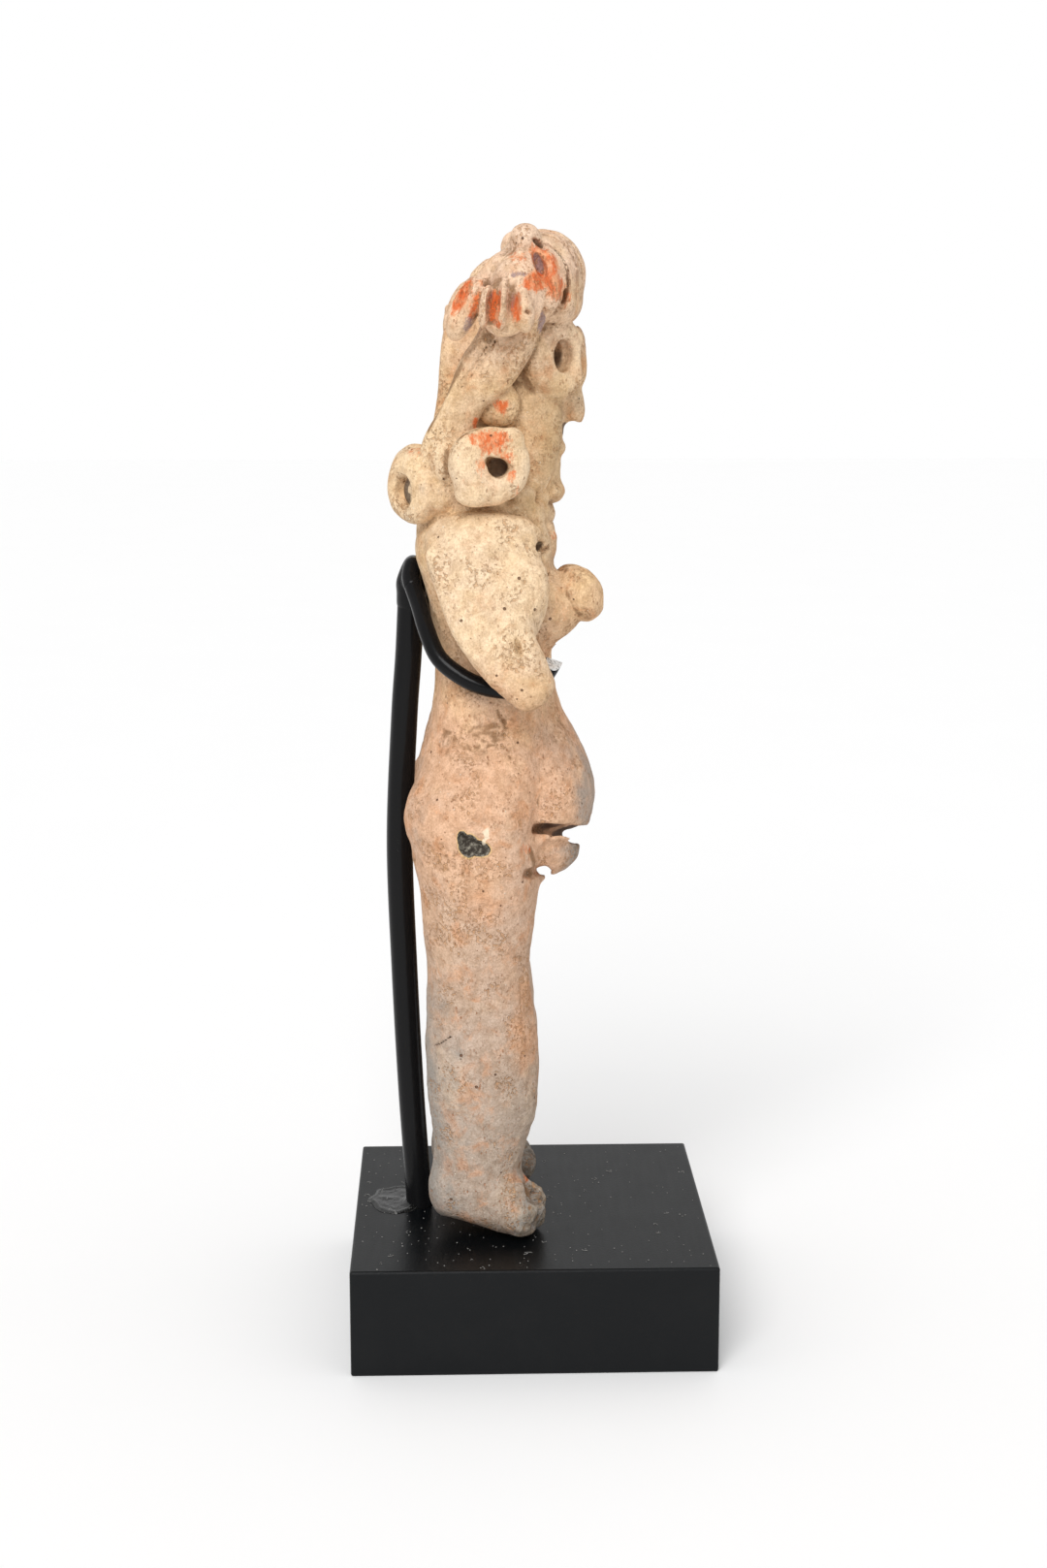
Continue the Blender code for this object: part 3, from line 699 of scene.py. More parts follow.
# Where the right side has broken, or has a deep pit: centre, half sizes and turn.
CHIPS = (
    (-24.9, 3.1, 72.2, 2.5, 1.7, 1.9, 0),
    (-24.8, 4.1, 73.5, 2.3, 0.8, 1.3, -10),
    (-24.9, 1.4, 71.8, 2.4, 1.9, 1.2, 16),
    (-24.0, 2.6, 75.3, 0.7, 1.3, 0.4, 0),
    (-23.4, 1.2, 60.9, 0.8, 0.28, 0.5, 0),
    (-16.8, -0.9, 95.6, 0.8, 0.3, 0.35, 0),
    (-17.4, -2.8, 93.0, 0.9, 0.3, 1.8, -20),
    (-16.8, -5.4, 10.8, 0.9, 0.5, 0.8, 20),
    (-16.8, 8.9, 9.4, 0.8, 0.3, 0.4, 0),
    (-14.4, -9.2, 121.9, 3.8, 2.5, 0.9, -14),
    (-13.2, -11.2, 121.3, 4.6, 2.4, 0.8, -20),
    (-13.6, -10.8, 116.9, 1.6, 0.9, 0.4, -30),
    (-10.2, -10.0, 143.4, 1.0, 0.5, 0.5, 0),
    (-8.6, -11.2, 130.4, 1.2, 0.6, 0.5, 0),
    (-15.8, 5.5, 127.4, 1.0, 0.6, 0.4, 0),
    (-17.6, 8.3, 35.4, 1.4, 0.25, 1.4, 50),
    (-19.0, 6.8, 36.8, 1.2, 1.6, 0.22, -40),
)


def clay_figure(step):
    clay = SkinField(*CLAY_GRID, step)
    add_trunk(clay)
    for side in SIDES:
        add_leg(clay, side)
        add_foot(clay, side)
        add_arm(clay, side)
        add_breast(clay, side)
    add_head(clay)
    add_hair_straps(clay)
    add_ear_spools(clay)
    add_necklace(clay)
    add_headdress(clay)
    cut_openings(clay)
    return clay


def noise_at(points, size, seed):
    """Smooth noise from -1 to 1 at points, in lumps of about the given size."""
    cells = points / size + 17.3 * seed
    corner = np.floor(cells)
    part = cells - corner
    part = part * part * (3 - 2 * part)
    corner = corner.astype(np.int64)
    total = np.zeros(len(points))
    for offset in np.ndindex(2, 2, 2):
        at = corner + offset
        mixed = (at[:, 0] * 73856093) ^ (at[:, 1] * 19349663) ^ (at[:, 2] * 83492791)
        mixed = (mixed ^ (mixed >> 13)) * 1274126177
        value = ((mixed ^ (mixed >> 16)) & 0xFFFF) / 32767.5 - 1
        weight = np.prod(np.where(offset, part, 1 - part), axis=1)
        total += value * weight
    return total


def mesh_from(name, points, faces):
    mesh = bpy.data.meshes.new(name)
    mesh.vertices.add(len(points))
    mesh.vertices.foreach_set("co", np.asarray(points, np.float32).ravel())
    corners = faces.shape[1]
    mesh.loops.add(faces.size)
    mesh.loops.foreach_set("vertex_index", faces.astype(np.int32).ravel())
    mesh.polygons.add(len(faces))
    mesh.polygons.foreach_set("loop_start", np.arange(0, faces.size, corners, dtype=np.int32))
    mesh.update(calc_edges=True)
    mesh.validate()
    return mesh


def vertex_values(mesh, field="co"):
    source = mesh.vertices if field == "co" else mesh.vertex_normals
    found = np.zeros(len(mesh.vertices) * 3, np.float32)
    source.foreach_get("co" if field == "co" else "vector", found)
    return found.reshape(-1, 3).astype(float)


def show(name, mesh):
    obj = bpy.data.objects.new(name, mesh)
    bpy.context.scene.collection.objects.link(obj)
    return obj


def settled(obj):
    """A new object with the plain mesh that an object's modifiers make, in its place."""
    depsgraph = bpy.context.evaluated_depsgraph_get()
    mesh = bpy.data.meshes.new_from_object(obj.evaluated_get(depsgraph), depsgraph=depsgraph)
    name = obj.name
    bpy.data.objects.remove(obj, do_unlink=True)
    mesh.name = name
    return show(name, mesh)


def fill(node, values):
    """Gives a node's sockets their links, numbers or colours."""
    for name, value in values.items():
        if isinstance(value, Signal):
            node.id_data.links.new(value.socket, node.inputs[name])
        else:
            node.inputs[name].default_value = value


class Signal:
    """A node's output, on which Python's own operators add Math nodes."""

    def __init__(self, tree, socket=None):
        self.tree = tree
        self.socket = socket

    def node(self, kind, settings=None, values=None, output=0):
        """Adds any other node: its settings come first, then numbers, colours or links for its sockets."""
        made = self.tree.nodes.new(kind)
        for name, setting in (settings or {}).items():
            setattr(made, name, setting)
        fill(made, values or {})
        return Signal(self.tree, made.outputs[output] if made.outputs else None)

    def other(self, name):
        """Another output of the same node."""
        return Signal(self.tree, self.socket.node.outputs[name])

    def maths(self, operation, first, second=0.0):
        return self.node("ShaderNodeMath", {"operation": operation}, {0: first, 1: second})

    def __add__(self, other):
        return self.maths("ADD", self, other)

    def __radd__(self, other):
        return self.maths("ADD", other, self)

    def __sub__(self, other):
        return self.maths("SUBTRACT", self, other)

    def __rsub__(self, other):
        return self.maths("SUBTRACT", other, self)

    def __mul__(self, other):
        return self.maths("MULTIPLY", self, other)

    def __rmul__(self, other):
        return self.maths("MULTIPLY", other, self)

    def __truediv__(self, other):
        return self.maths("DIVIDE", self, other)


def between(value, low, high):
    """0 below low and 1 above high, with a smooth rise between. low may be the greater one."""
    return value.node(
        "ShaderNodeMapRange",
        {"interpolation_type": "SMOOTHSTEP"},
        {"Value": value, "From Min": low, "From Max": high},
    )


def mixed(factor, first, second, blend="MIX"):
    """A colour between two colours, which are links or (red, green, blue)."""
    first, second = (c if isinstance(c, Signal) else (*c, 1) for c in (first, second))
    settings = {"data_type": "RGBA", "blend_type": blend}
    return first_signal(factor, first).node("ShaderNodeMix", settings, {0: factor, 6: first, 7: second}, 2)


def first_signal(*values):
    return next(value for value in values if isinstance(value, Signal))


def coloured(value, stops):
    """The colour at a value on a ramp through stops of (place, colour)."""
    ramped = value.node("ShaderNodeValToRGB", {}, {0: value})
    elements = ramped.socket.node.color_ramp.elements
    for _ in range(len(stops) - len(elements)):
        elements.new(1)
    for element, (position, colour) in zip(elements, stops):
        element.position = position
        element.color = (*colour, 1)
    return ramped


def blended(first, second, share):
    """A colour worked out between two plain colours."""
    return tuple((1 - share) * a + share * b for a, b in zip(first, second))


def noise(place, size, detail=3.0, roughness=0.55, distortion=0.0):
    """Noise from 0 to 1 on a place in millimetres, in lumps of about the given size."""
    values = {"Vector": place, "Scale": 1 / size, "Detail": detail}
    values |= {"Roughness": roughness, "Distortion": distortion}
    return place.node("ShaderNodeTexNoise", {}, values)


def dots(place, spacing, share, radius):
    """A mask of round specks: how far apart they may lie, the share of the places filled, and the radius."""
    cell = place.node("ShaderNodeTexVoronoi", {"feature": "F1"}, {"Vector": place, "Scale": 1 / spacing})
    chance = place.node("ShaderNodeSeparateColor", {}, {0: cell.other("Color")})
    chosen = between(chance, 1 - share, 1 - share + 0.02)
    size = chance.other("Green") * (0.6 * radius) + 0.5 * radius
    return chosen * between(cell * spacing / size, 1.0, 0.6)


def stretched(place, factors):
    return place.node("ShaderNodeVectorMath", {"operation": "MULTIPLY"}, {0: place, 1: factors})


def scaled(place, factor):
    return place.node("ShaderNodeVectorMath", {"operation": "SCALE"}, {0: place, "Scale": factor})


def start_material(name):
    """A new material, and the place on its surface in millimetres."""
    material = bpy.data.materials.new(name)
    material.use_nodes = True
    coordinates = Signal(material.node_tree).node("ShaderNodeTexCoord", output=3)
    return material, scaled(coordinates, 1 / MILLIMETRE)


def finish_surface(material, values, relief=None, depth=0.0):
    """Fills in the material's own shader. The depth of the relief is in millimetres."""
    if relief is not None:
        bump = {"Strength": 1.0, "Distance": depth * MILLIMETRE, "Height": relief}
        values["Normal"] = relief.node("ShaderNodeBump", {}, bump)
    fill(material.node_tree.nodes["Principled BSDF"], values)
    return material


def attribute(place, name):
    return place.node("ShaderNodeAttribute", {"attribute_name": name}, output=2)


def torn_mask(place, name, low, high, size, amount, detail=5, roughness=0.55):
    """A stored mask with an edge that noise breaks up."""
    return between(attribute(place, name) + (noise(place, size, detail, roughness) - 0.5) * amount, low, high)


def colour_property(name, description, default):
    return bpy.props.FloatVectorProperty(
        name=name, description=description, default=default, size=3, min=0, max=1, subtype="COLOR"
    )


def number(name, description, default, **kind):
    return bpy.props.FloatProperty(name=name, description=description, default=default, **kind)


def count(name, description, default):
    return bpy.props.IntProperty(name=name, description=description, default=default)


class FigureClay(bpy.types.PropertyGroup):
    grain: number("Grain", "Side of the cells that the clay is shaped in, in parts", 0.38)
    face_limit: count("Face limit", "Most triangles that the figure may have", 196000)
    blush: colour_property("Blush", "The pinkish clay of the headdress", (0.85, 0.61, 0.44))
    buff: colour_property("Buff", "The clay of the head", (0.72, 0.51, 0.30))
    cream: colour_property("Cream", "The worn clay of the arms and ear spools", (0.86, 0.66, 0.44))
    rose: colour_property("Rose", "The pinkish clay of the hips", (0.72, 0.45, 0.29))
    ash: colour_property("Ash", "The greyish clay of the shins and feet", (0.45, 0.36, 0.29))
    soot: colour_property("Soot", "Grey fire clouds", (0.31, 0.295, 0.27))
    iron: colour_property("Iron", "Orange stains in the clay", (0.62, 0.27, 0.11))
    ochre: colour_property("Ochre", "The yellowish wash on cheeks and neck", (0.47, 0.30, 0.14))
    fleck: colour_property("Fleck", "Brown flecks and pits", (0.38, 0.16, 0.07))
    rust: colour_property("Rust", "The remains of red paint", (0.70, 0.14, 0.03))
    violet: colour_property("Violet", "The remains of purple grey slip", (0.34, 0.24, 0.24))
    # This brown is also the painted shade in hollows and seams.
    soil_and_shade: colour_property("Soil", "Brown dirt in the hollows", (0.24, 0.13, 0.06))
    core: colour_property("Core", "The dark core that a break shows", (0.055, 0.045, 0.035))


class FigureStand(bpy.types.PropertyGroup):
    rod_diameter: number("Rod diameter", "Thickness of the bowed rod", 0.0047, unit="LENGTH")
    wire_diameter: number("Wire diameter", "Thickness of the claw wires", 0.003, unit="LENGTH")
    sides: count("Sides", "Faces round the rod and wires", 40)
    paint: colour_property("Paint", "Black paint on rod and wires", (0.006, 0.006, 0.0065))
    # A bright colour: the bare metal's silver, and partly a painted reflection that keeps the tips bright in
    # shade.
    metal: colour_property("Metal", "Bare metal of the cut tips", (0.86, 0.86, 0.84))
    block: colour_property("Block", "Black lacquer of the block", (0.0015, 0.0022, 0.003))
    dust: colour_property("Dust", "Dust and lint on the block", (0.42, 0.41, 0.39))
    flakes: number("Flakes", "Dust flakes on each square metre where dust has gathered", 110000)
    lint: number("Lint", "Bits of lint on each square metre where dust has gathered", 15000)
    seed: count("Seed", "Scatter of the dust", 7)


class FigureStage(bpy.types.PropertyGroup):
    floor: colour_property("Floor", "The pale floor", (0.97, 0.97, 0.97))
    key_strength: number("Key light", "Strength of the large soft light from above left", 2.05)
    key_spread: number("Key spread", "How wide the key light is", math.radians(34), subtype="ANGLE")
    backdrop: number("Backdrop", "Brightness of the white behind all", 1.0)
    room: number("Room", "Light that comes from all round", 0.64)
    lens: number("Lens", "Focal length, in millimetres", 53.7)


def terracotta_material(clay):
    """Fired clay: buff above, rose at the hips, ash below, with stains, flecks, dirt, painted shade in
    hollows, seams and holes, and old paint.
    """
    material, place = start_material("terracotta_clay")
    up = place.node("ShaderNodeSeparateXYZ", {}, {0: place}).other("Z")
    height = (up - FIGURE_ORIGIN.z / MILLIMETRE + (noise(place, 15) - 0.5) * 22) / FIGURE_HEIGHT
    buff, rose, ash, cream = (tuple(c) for c in (clay.buff, clay.rose, clay.ash, clay.cream))
    stops = (
        (0.0, blended(ash, (0, 0, 0), 0.1)),
        (0.12, ash),
        (0.24, blended(ash, rose, 0.3)),
        (0.38, blended(ash, rose, 0.85)),
        (0.50, rose),
        (0.60, blended(buff, rose, 0.5)),
        (0.70, buff),
        (0.85, buff),
        (0.95, tuple(clay.blush)),
    )
    pale = attribute(place, "pale")
    colour = mixed(pale * 0.9, coloured(height, stops), cream)
    # Broad clouds, warm and cool, then patches a few millimetres wide.
    colour = mixed(between(noise(place, 9, 4), 0.42, 0.66) * 0.24, colour, (0.62, 0.50, 0.42))
    upper = between(height, 0.42, 0.62)
    straw = between(noise(place, 6.2, 4, distortion=0.4), 0.48, 0.68)
    colour = mixed(straw * (0.06 + 0.26 * upper), colour, (0.84, 0.59, 0.31))
    stain = between(noise(place, 4.4, 6, 0.66, 0.5), 0.50, 0.70)
    colour = mixed(stain * (0.50 - 0.32 * pale), colour, tuple(clay.iron))
    colour = mixed(torn_mask(place, "warm", 0.25, 0.95, 3.2, 1.1) * 0.42, colour, (0.72, 0.33, 0.14))
    mottle = noise(place, 1.7, 6, 0.68)
    shade = mixed(between(mottle, 0.34, 0.64), (0.83, 0.78, 0.73), (1.08, 1.08, 1.08))
    colour = mixed(1.0, colour, shade, "MULTIPLY")
    colour = mixed(torn_mask(place, "soot", 0.25, 0.95, 5, 1.5, 6, 0.62) * 0.78, colour, tuple(clay.soot))
    colour = mixed(torn_mask(place, "soot", 0.84, 1.14, 1.3, 1.3, 5, 0.7) * 0.75, colour, (0.19, 0.14, 0.095))
    worn = between(attribute(place, "worn") + (mottle - 0.5) * 0.6, 0.25, 0.9)
    colour = mixed(worn * (0.12 + 0.38 * upper), colour, cream)
    # Brown in the hollows and seams: partly dirt, partly painted shade where recesses and creases fall dark.
    colour = mixed(torn_mask(place, "hollow_dirt_and_shade", 0.2, 0.9, 1.1, 0.9, 5, 0.65) * 0.8, colour, tuple(clay.soil_and_shade))
    colour = mixed(torn_mask(place, "ochre", 0.2, 0.9, 3.0, 0.9) * 0.5, colour, tuple(clay.ochre))
    # Old paint, worn through in spots.
    ragged = (noise(stretched(place, (1.0, 1.0, 0.5)), 0.75, 6, 0.75) - 0.5) * 2.1
    upright = stretched(place, (1.0, 1.0, 0.6))
    red = between(attribute(place, "red") + ragged, 0.28, 0.72)
    red_tone = mixed(between(noise(upright, 1.2, 4), 0.42, 0.62), tuple(clay.rust), (0.80, 0.36, 0.18))
    colour = mixed(red * 0.92, colour, red_tone)
    violet = between(attribute(place, "violet") + ragged * 0.8, 0.3, 0.62)
    colour = mixed(violet * 0.85, colour, tuple(clay.violet))
    # Flecks, pits and grains.
    crowded = between(noise(place, 3.6), 0.40, 0.60)
    thin = between(noise(upright, 0.56, roughness=0.6), 0.60, 0.66) * 0.55
    flecks = thin.maths("MAXIMUM", thin, dots(upright, 0.78, 0.5, 0.21)) * (0.12 + 0.88 * crowded)
    pores = between(noise(place, 0.62, 2), 0.52, 0.62) * between(noise(place, 6.5), 0.50, 0.60)
    fine = noise(place, 0.34, roughness=0.7)
    pits = dots(place, 2.5, 0.4, 0.30)
    specks = dots(place, 1.0, 0.35, 0.15)
    grains = dots(place, 1.25, 0.30, 0.15)
    colour = mixed(pores * 0.55, colour, (0.52, 0.27, 0.12))
    colour = mixed(flecks * (0.72 - 0.3 * pale), colour, tuple(clay.fleck))
    colour = mixed(grains * 0.65, colour, (0.93, 0.86, 0.72))
    colour = mixed(specks * 0.7, colour, tuple(clay.fleck))
    colour = mixed(pits * 0.85, colour, (0.13, 0.055, 0.025))
    grit = mixed(between(fine, 0.36, 0.64), (0.86, 0.84, 0.82), (1.09, 1.09, 1.09))
    colour = mixed(1.0, colour, grit, "MULTIPLY")
    # Painted shade inside deep holes, and the dark core in the breaks with its yellow rim.
    ends = (noise(place, 0.9, 4, 0.7) - 0.5) * 0.4
    crumbs = between(noise(place, 0.8, 5, 0.75), 0.45, 0.68)
    broken = attribute(place, "core") + ends
    colour = mixed(between(broken, 0.22, 0.36) * 0.7, colour, (0.74, 0.50, 0.22))
    colour = mixed(between(broken, 0.42, 0.52), colour, mixed(crumbs, tuple(clay.core), (0.34, 0.31, 0.25)))
    # Painted shade: the insides of holes and slits in dark brown.
    colour = mixed(between(attribute(place, "deep") + ends, 0.35, 0.7) * 0.85, colour, (0.10, 0.068, 0.05))
    colour = mixed(between(attribute(place, "scratch") + ends, 0.3, 0.6) * 0.75, colour, (0.93, 0.80, 0.60))
    rough = 0.88 + (fine - 0.5) * 0.12 - red * 0.12
    raised = mottle * 0.75 + fine * 0.22 + noise(place, 0.8, 4, 0.6) * 0.35 + grains * 0.15
    relief = raised - pits * 0.8 - specks * 0.35 - flecks * 0.30 - pores * 0.45
    values = {"Base Color": colour, "Roughness": rough, "Specular IOR Level": 0.2}
    return finish_surface(material, values, relief, 0.42)


def ramp(values, start, run):
    """0 at start and 1 at a run beyond it, which may be a run downwards."""
    return np.clip((values - start) / run, 0, 1)


def put_lumps(mesh):
    """Moves the smooth skin a little, as hands, tools and time have."""
    points = vertex_values(mesh)
    normals = vertex_values(mesh, "normal")
    drift = np.stack([noise_at(points, 15, seed) for seed in (1, 2, 3)], 1) * 0.35
    x, y, z = points.T
    scraped = ramp(z, 98, -6)
    crumbly = np.clip(1.2 - np.abs(z - 125.5) / 4.5, 0, 1) * ramp(y, 2, -4)
    torn = np.clip(1.6 - np.abs(z - 71 + 0.16 * (y + 14)) / 2.6, 0, 1) * ramp(y, -8, -2)
    toes = ramp(z, 9.6, -2) * ramp(y, -3.4, -1.5) * (x < 0)
    height = noise_at(points, 7, 4) * 0.28
    height += noise_at(points * (1, 1, 0.7), 2.8, 5) * (0.17 + 0.20 * crumbly + 0.2 * torn + 0.3 * toes)
    height += noise_at(points, 1.2, 6) * (0.06 + 0.13 * crumbly + 0.16 * torn + 0.38 * toes)
    height += noise_at(points * (1, 1, 0.16), 1.5, 7) * 0.07 * scraped
    points = points + drift + normals * height[:, None]
    mesh.vertices.foreach_set("co", points.astype(np.float32).ravel())
    mesh.update()


# Where paint is left: the centre and half sizes of each patch, its tilt in degrees, and how much is
# left. These are on the right side, and the left has smaller patches in the same places.
PAINT_RED = (
    (-21.6, 3.7, 163.0, 3.4, 1.4, 5.0, 26, 1.3),
    (-21.6, 1.7, 161.0, 3.0, 1.2, 4.6, 12, 0.7),
    (-23.6, -1.6, 161.4, 3.4, 1.5, 4.2, 4, 1.2),
    (-23.6, -1.8, 158.4, 3.0, 1.4, 1.6, 0, 0.8),
    (-24.0, -4.9, 161.4, 3.4, 1.4, 4.0, -4, 1.0),
    (-22.0, 0.2, 165.2, 3.0, 2.2, 1.6, 0, 0.6),
    (-19.5, -8.6, 165.4, 5.0, 5.4, 2.4, -22, 1.3),
    (-18.0, -11.4, 164.0, 4.0, 3.4, 3.0, 0, 0.9),
    (-18.0, -9.2, 169.2, 4.0, 2.5, 3.8, -18, 0.9),
    (-18.0, -11.2, 168.0, 4.0, 2.0, 3.2, -18, 0.7),
    (-18.0, -5.8, 167.6, 4.0, 3.2, 3.4, -30, 0.85),
    (-16.0, -13.6, 162.8, 4.0, 1.6, 2.8, 0, 0.6),
    (-20.4, -0.6, 139.6, 2.5, 5.6, 3.0, 0, 0.8),
    (-20.6, -3.6, 136.6, 2.0, 2.4, 3.0, 0, 0.6),
    (-20.6, -4.4, 134.0, 2.0, 1.4, 2.0, 0, 0.7),
    (-20.6, 0.8, 135.6, 2.0, 1.4, 3.0, 0, 0.65),
    (-20.0, -5.4, 130.8, 2.0, 1.0, 2.4, 0, 0.45),
    (-14.0, -2.9, 145.0, 3.0, 1.9, 1.9, 0, 0.85),
    (-14.6, 1.5, 142.2, 3.0, 0.9, 1.7, 0, 0.8),
    (-11.4, 11.4, 137.2, 4.0, 3.0, 1.6, 30, 0.45),
    (-7.6, -12.4, 122.6, 4.0, 2.0, 3.4, 0, 0.35),
    (-19.7, -7.0, 70.4, 3.0, 1.6, 3.2, -20, 0.45),
    (-11.6, -7.4, 9.0, 3.0, 1.2, 1.8, 0, 0.8),
)
PAINT_VIOLET = (
    (-24.0, -4.6, 162.4, 3.4, 0.9, 2.8, 0, 0.8),
    (-23.6, -1.1, 162.8, 3.4, 0.6, 2.2, 0, 0.6),
    (-18.0, -8.9, 168.2, 4.0, 1.0, 2.5, -18, 1.0),
    (-21.5, -5.4, 166.3, 3.6, 2.2, 0.7, -6, 0.7),
    (-20.6, 2.4, 158.2, 3.0, 1.8, 2.4, 0, 0.6),
    (-17.0, -9.5, 157.8, 4.0, 1.1, 4.4, 0, 0.8),
    (-14.4, -12.4, 165.2, 3.0, 1.0, 3.0, 0, 0.5),
)
# Where the clay is a deeper yellow, on both sides. The last column is how much, here and below.
OCHRE = (
    (-9.0, -11.0, 141.0, 7.0, 6.0, 11.0, 0, 0.95),
    (-10.0, -9.0, 128.5, 9.0, 5.0, 3.5, 0, 0.6),
    (-25.0, -8.0, 99.5, 5.0, 5.5, 7.0, 0, 1.0),
    (-22.5, -1.8, 121.6, 3.0, 4.0, 3.4, 0, 0.7),
    (-12.0, -13.5, 113.0, 6.0, 3.5, 6.0, 0, 0.5),
    (-27.4, -5.2, 106.0, 2.5, 1.2, 3.4, -14, 0.9),
)
# Where the fire turned the clay orange, on both sides.
WARM = (
    (-16.0, -6.5, 38.0, 9.0, 6.0, 15.0, 0, 0.8),
    (-20.0, 0.0, 62.0, 9.0, 9.0, 7.0, 0, 0.7),
    (-20.0, -8.0, 76.0, 9.0, 7.0, 5.0, 0, 0.6),
    (-12.0, -12.0, 94.0, 9.0, 5.0, 5.0, 0, 0.5),
    (-12.0, 12.0, 76.0, 12.0, 6.0, 8.0, 0, 0.6),
)
# Insides of holes and slits, painted dark as shade, which the left side mirrors.
HOLE_SHADE = (
    (15.8, -2.0, 135.0, 3.2, 3.3, 2.9, 0, 0.8),
    (10.0, 12.4, 130.8, 2.8, 2.8, 3.4, 0, 1.0),
    (8.2, -11.4, 153.0, 2.9, 2.9, 3.4, 0, 0.85),
    (7.6, -16.2, 153.0, 3.0, 1.3, 3.4, 0, 0.6),
    (26.6, -5.2, 106.6, 1.3, 0.6, 2.4, -14, 0.45),
    (13.4, -9.6, 121.8, 3.8, 3.4, 1.3, -16, 1.0),
    (0.0, -13.8, 141.0, 7.4, 1.8, 1.7, 0, 1.2),
    (16.6, -5.4, 10.7, 1.2, 0.7, 1.0, 20, 0.8),
    (22.6, -7.1, 160.4, 1.4, 1.0, 0.8, 30, 0.9),
    (13.0, -12.2, 72.4, 5.0, 4.6, 2.6, 0, 1.2),
    (5.0, -14.6, 69.8, 9.0, 5.0, 2.8, 0, 1.2),
)
# The dark core in the chip on the right hip, and the light scratch beside it.
BROKEN = (
    (-24.2, 3.0, 72.2, 3.6, 2.3, 2.7, 0, 1.25),
    (-24.2, 4.0, 73.4, 3.4, 1.3, 2.0, -10, 1.25),
    (-24.2, 1.3, 71.8, 3.4, 2.7, 1.8, 16, 1.25),
)
SCRATCH = ((-24.0, 0.1, 73.8, 2.0, 0.55, 3.6, 17, 0.9),)
# Seams darkened with painted shade and some dirt, which the left side mirrors: points along each, and its
# half width.
SHADED_SEAMS = (
    (((15.5, 0.3, 156.0), (14.8, 4.9, 149.8), (14.4, 7.4, 146.0), (14.0, 9.4, 141.4)), 1.0),
    (((17.5, 2.0, 156.6), (16.6, -0.8, 156.2)), 1.4),
    (((22.4, 0.9, 165.4), (21.2, 1.2, 157.6)), 0.8),
    (((17.0, -9.8, 172.0), (17.0, -4.4, 169.4)), 0.8),
    (((16.4, -4.0, 168.9), (17.6, -2.6, 165.8)), 0.8),
    (((19.5, 4.9, 139.9), (19.0, 2.2, 141.8), (17.6, -1.6, 142.2), (14.6, -4.8, 142.2)), 1.0),
    (((17.0, 6.2, 138.4), (17.0, 6.4, 133.4), (15.6, 7.8, 131.4)), 0.9),
    (((18.6, 4.4, 129.0), (17.4, -5.0, 128.6)), 0.9),
    (((16.4, -7.4, 131.6), (12.6, -8.9, 129.2)), 1.1),
    (((12.6, -6.0, 150.4), (11.4, -7.4, 148.4), (10.0, -9.6, 146.2)), 1.2),
    (((14.4, -10.0, 158.2), (10.4, -14.2, 159.6)), 0.7),
    (((11.4, -13.9, 117.6), (15.0, -14.0, 113.6), (14.5, -16.2, 110.0)), 0.7),
    (((14.4, -9.0, 119.4), (15.6, -9.8, 115.0)), 1.0),
    (((18.6, -7.4, 70.4), (16.4, -9.0, 66.0)), 1.1),
    (((16.8, -2.0, 94.1), (17.3, -3.6, 91.4)), 0.6),
    (((12.0, 12.8, 67.4), (19.0, 8.6, 69.0)), 0.8),
    (((10.6, -4.6, 14.6), (15.0, -6.0, 12.0)), 1.0),
    (((18.8, -7.0, 9.4), (20.0, -7.4, 6.4)), 0.6),
)


def paint_mask(points, patches):
    """The strength of the nearest patch at its middle, and 0 from its edge on."""
    found = np.zeros(len(points))
    for *place, strength in patches:
        patch = Pellet(*place)
        local = (points - patch.centre) @ patch.axes / patch.half
        found = np.maximum(found, np.clip(1.6 - 1.6 * np.sqrt((local**2).sum(1)), 0, 1) * strength)
    return found


def both_sides(points, patches, share):
    """The patches on the right side, and smaller ones in the same places on the left."""
    smaller = [(*row[:3], *(share * size for size in row[3:6]), *row[6:]) for row in patches]
    return np.maximum(paint_mask(points, patches), paint_mask(points * (-1, 1, 1), smaller))


def seam_mask(points):
    """1 along the seams, and 0 from their half width on."""
    found = np.zeros(len(points))
    for path, half_width in SHADED_SEAMS:
        for start, end in zip(path, path[1:]):
            run = np.subtract(end, start)
            share = np.clip((points - start) @ run / (run @ run), 0, 1)
            away = np.linalg.norm(points - start - share[:, None] * run, axis=1)
            found = np.maximum(found, np.clip(1.5 - 1.5 * away / half_width, 0, 1))
    return found


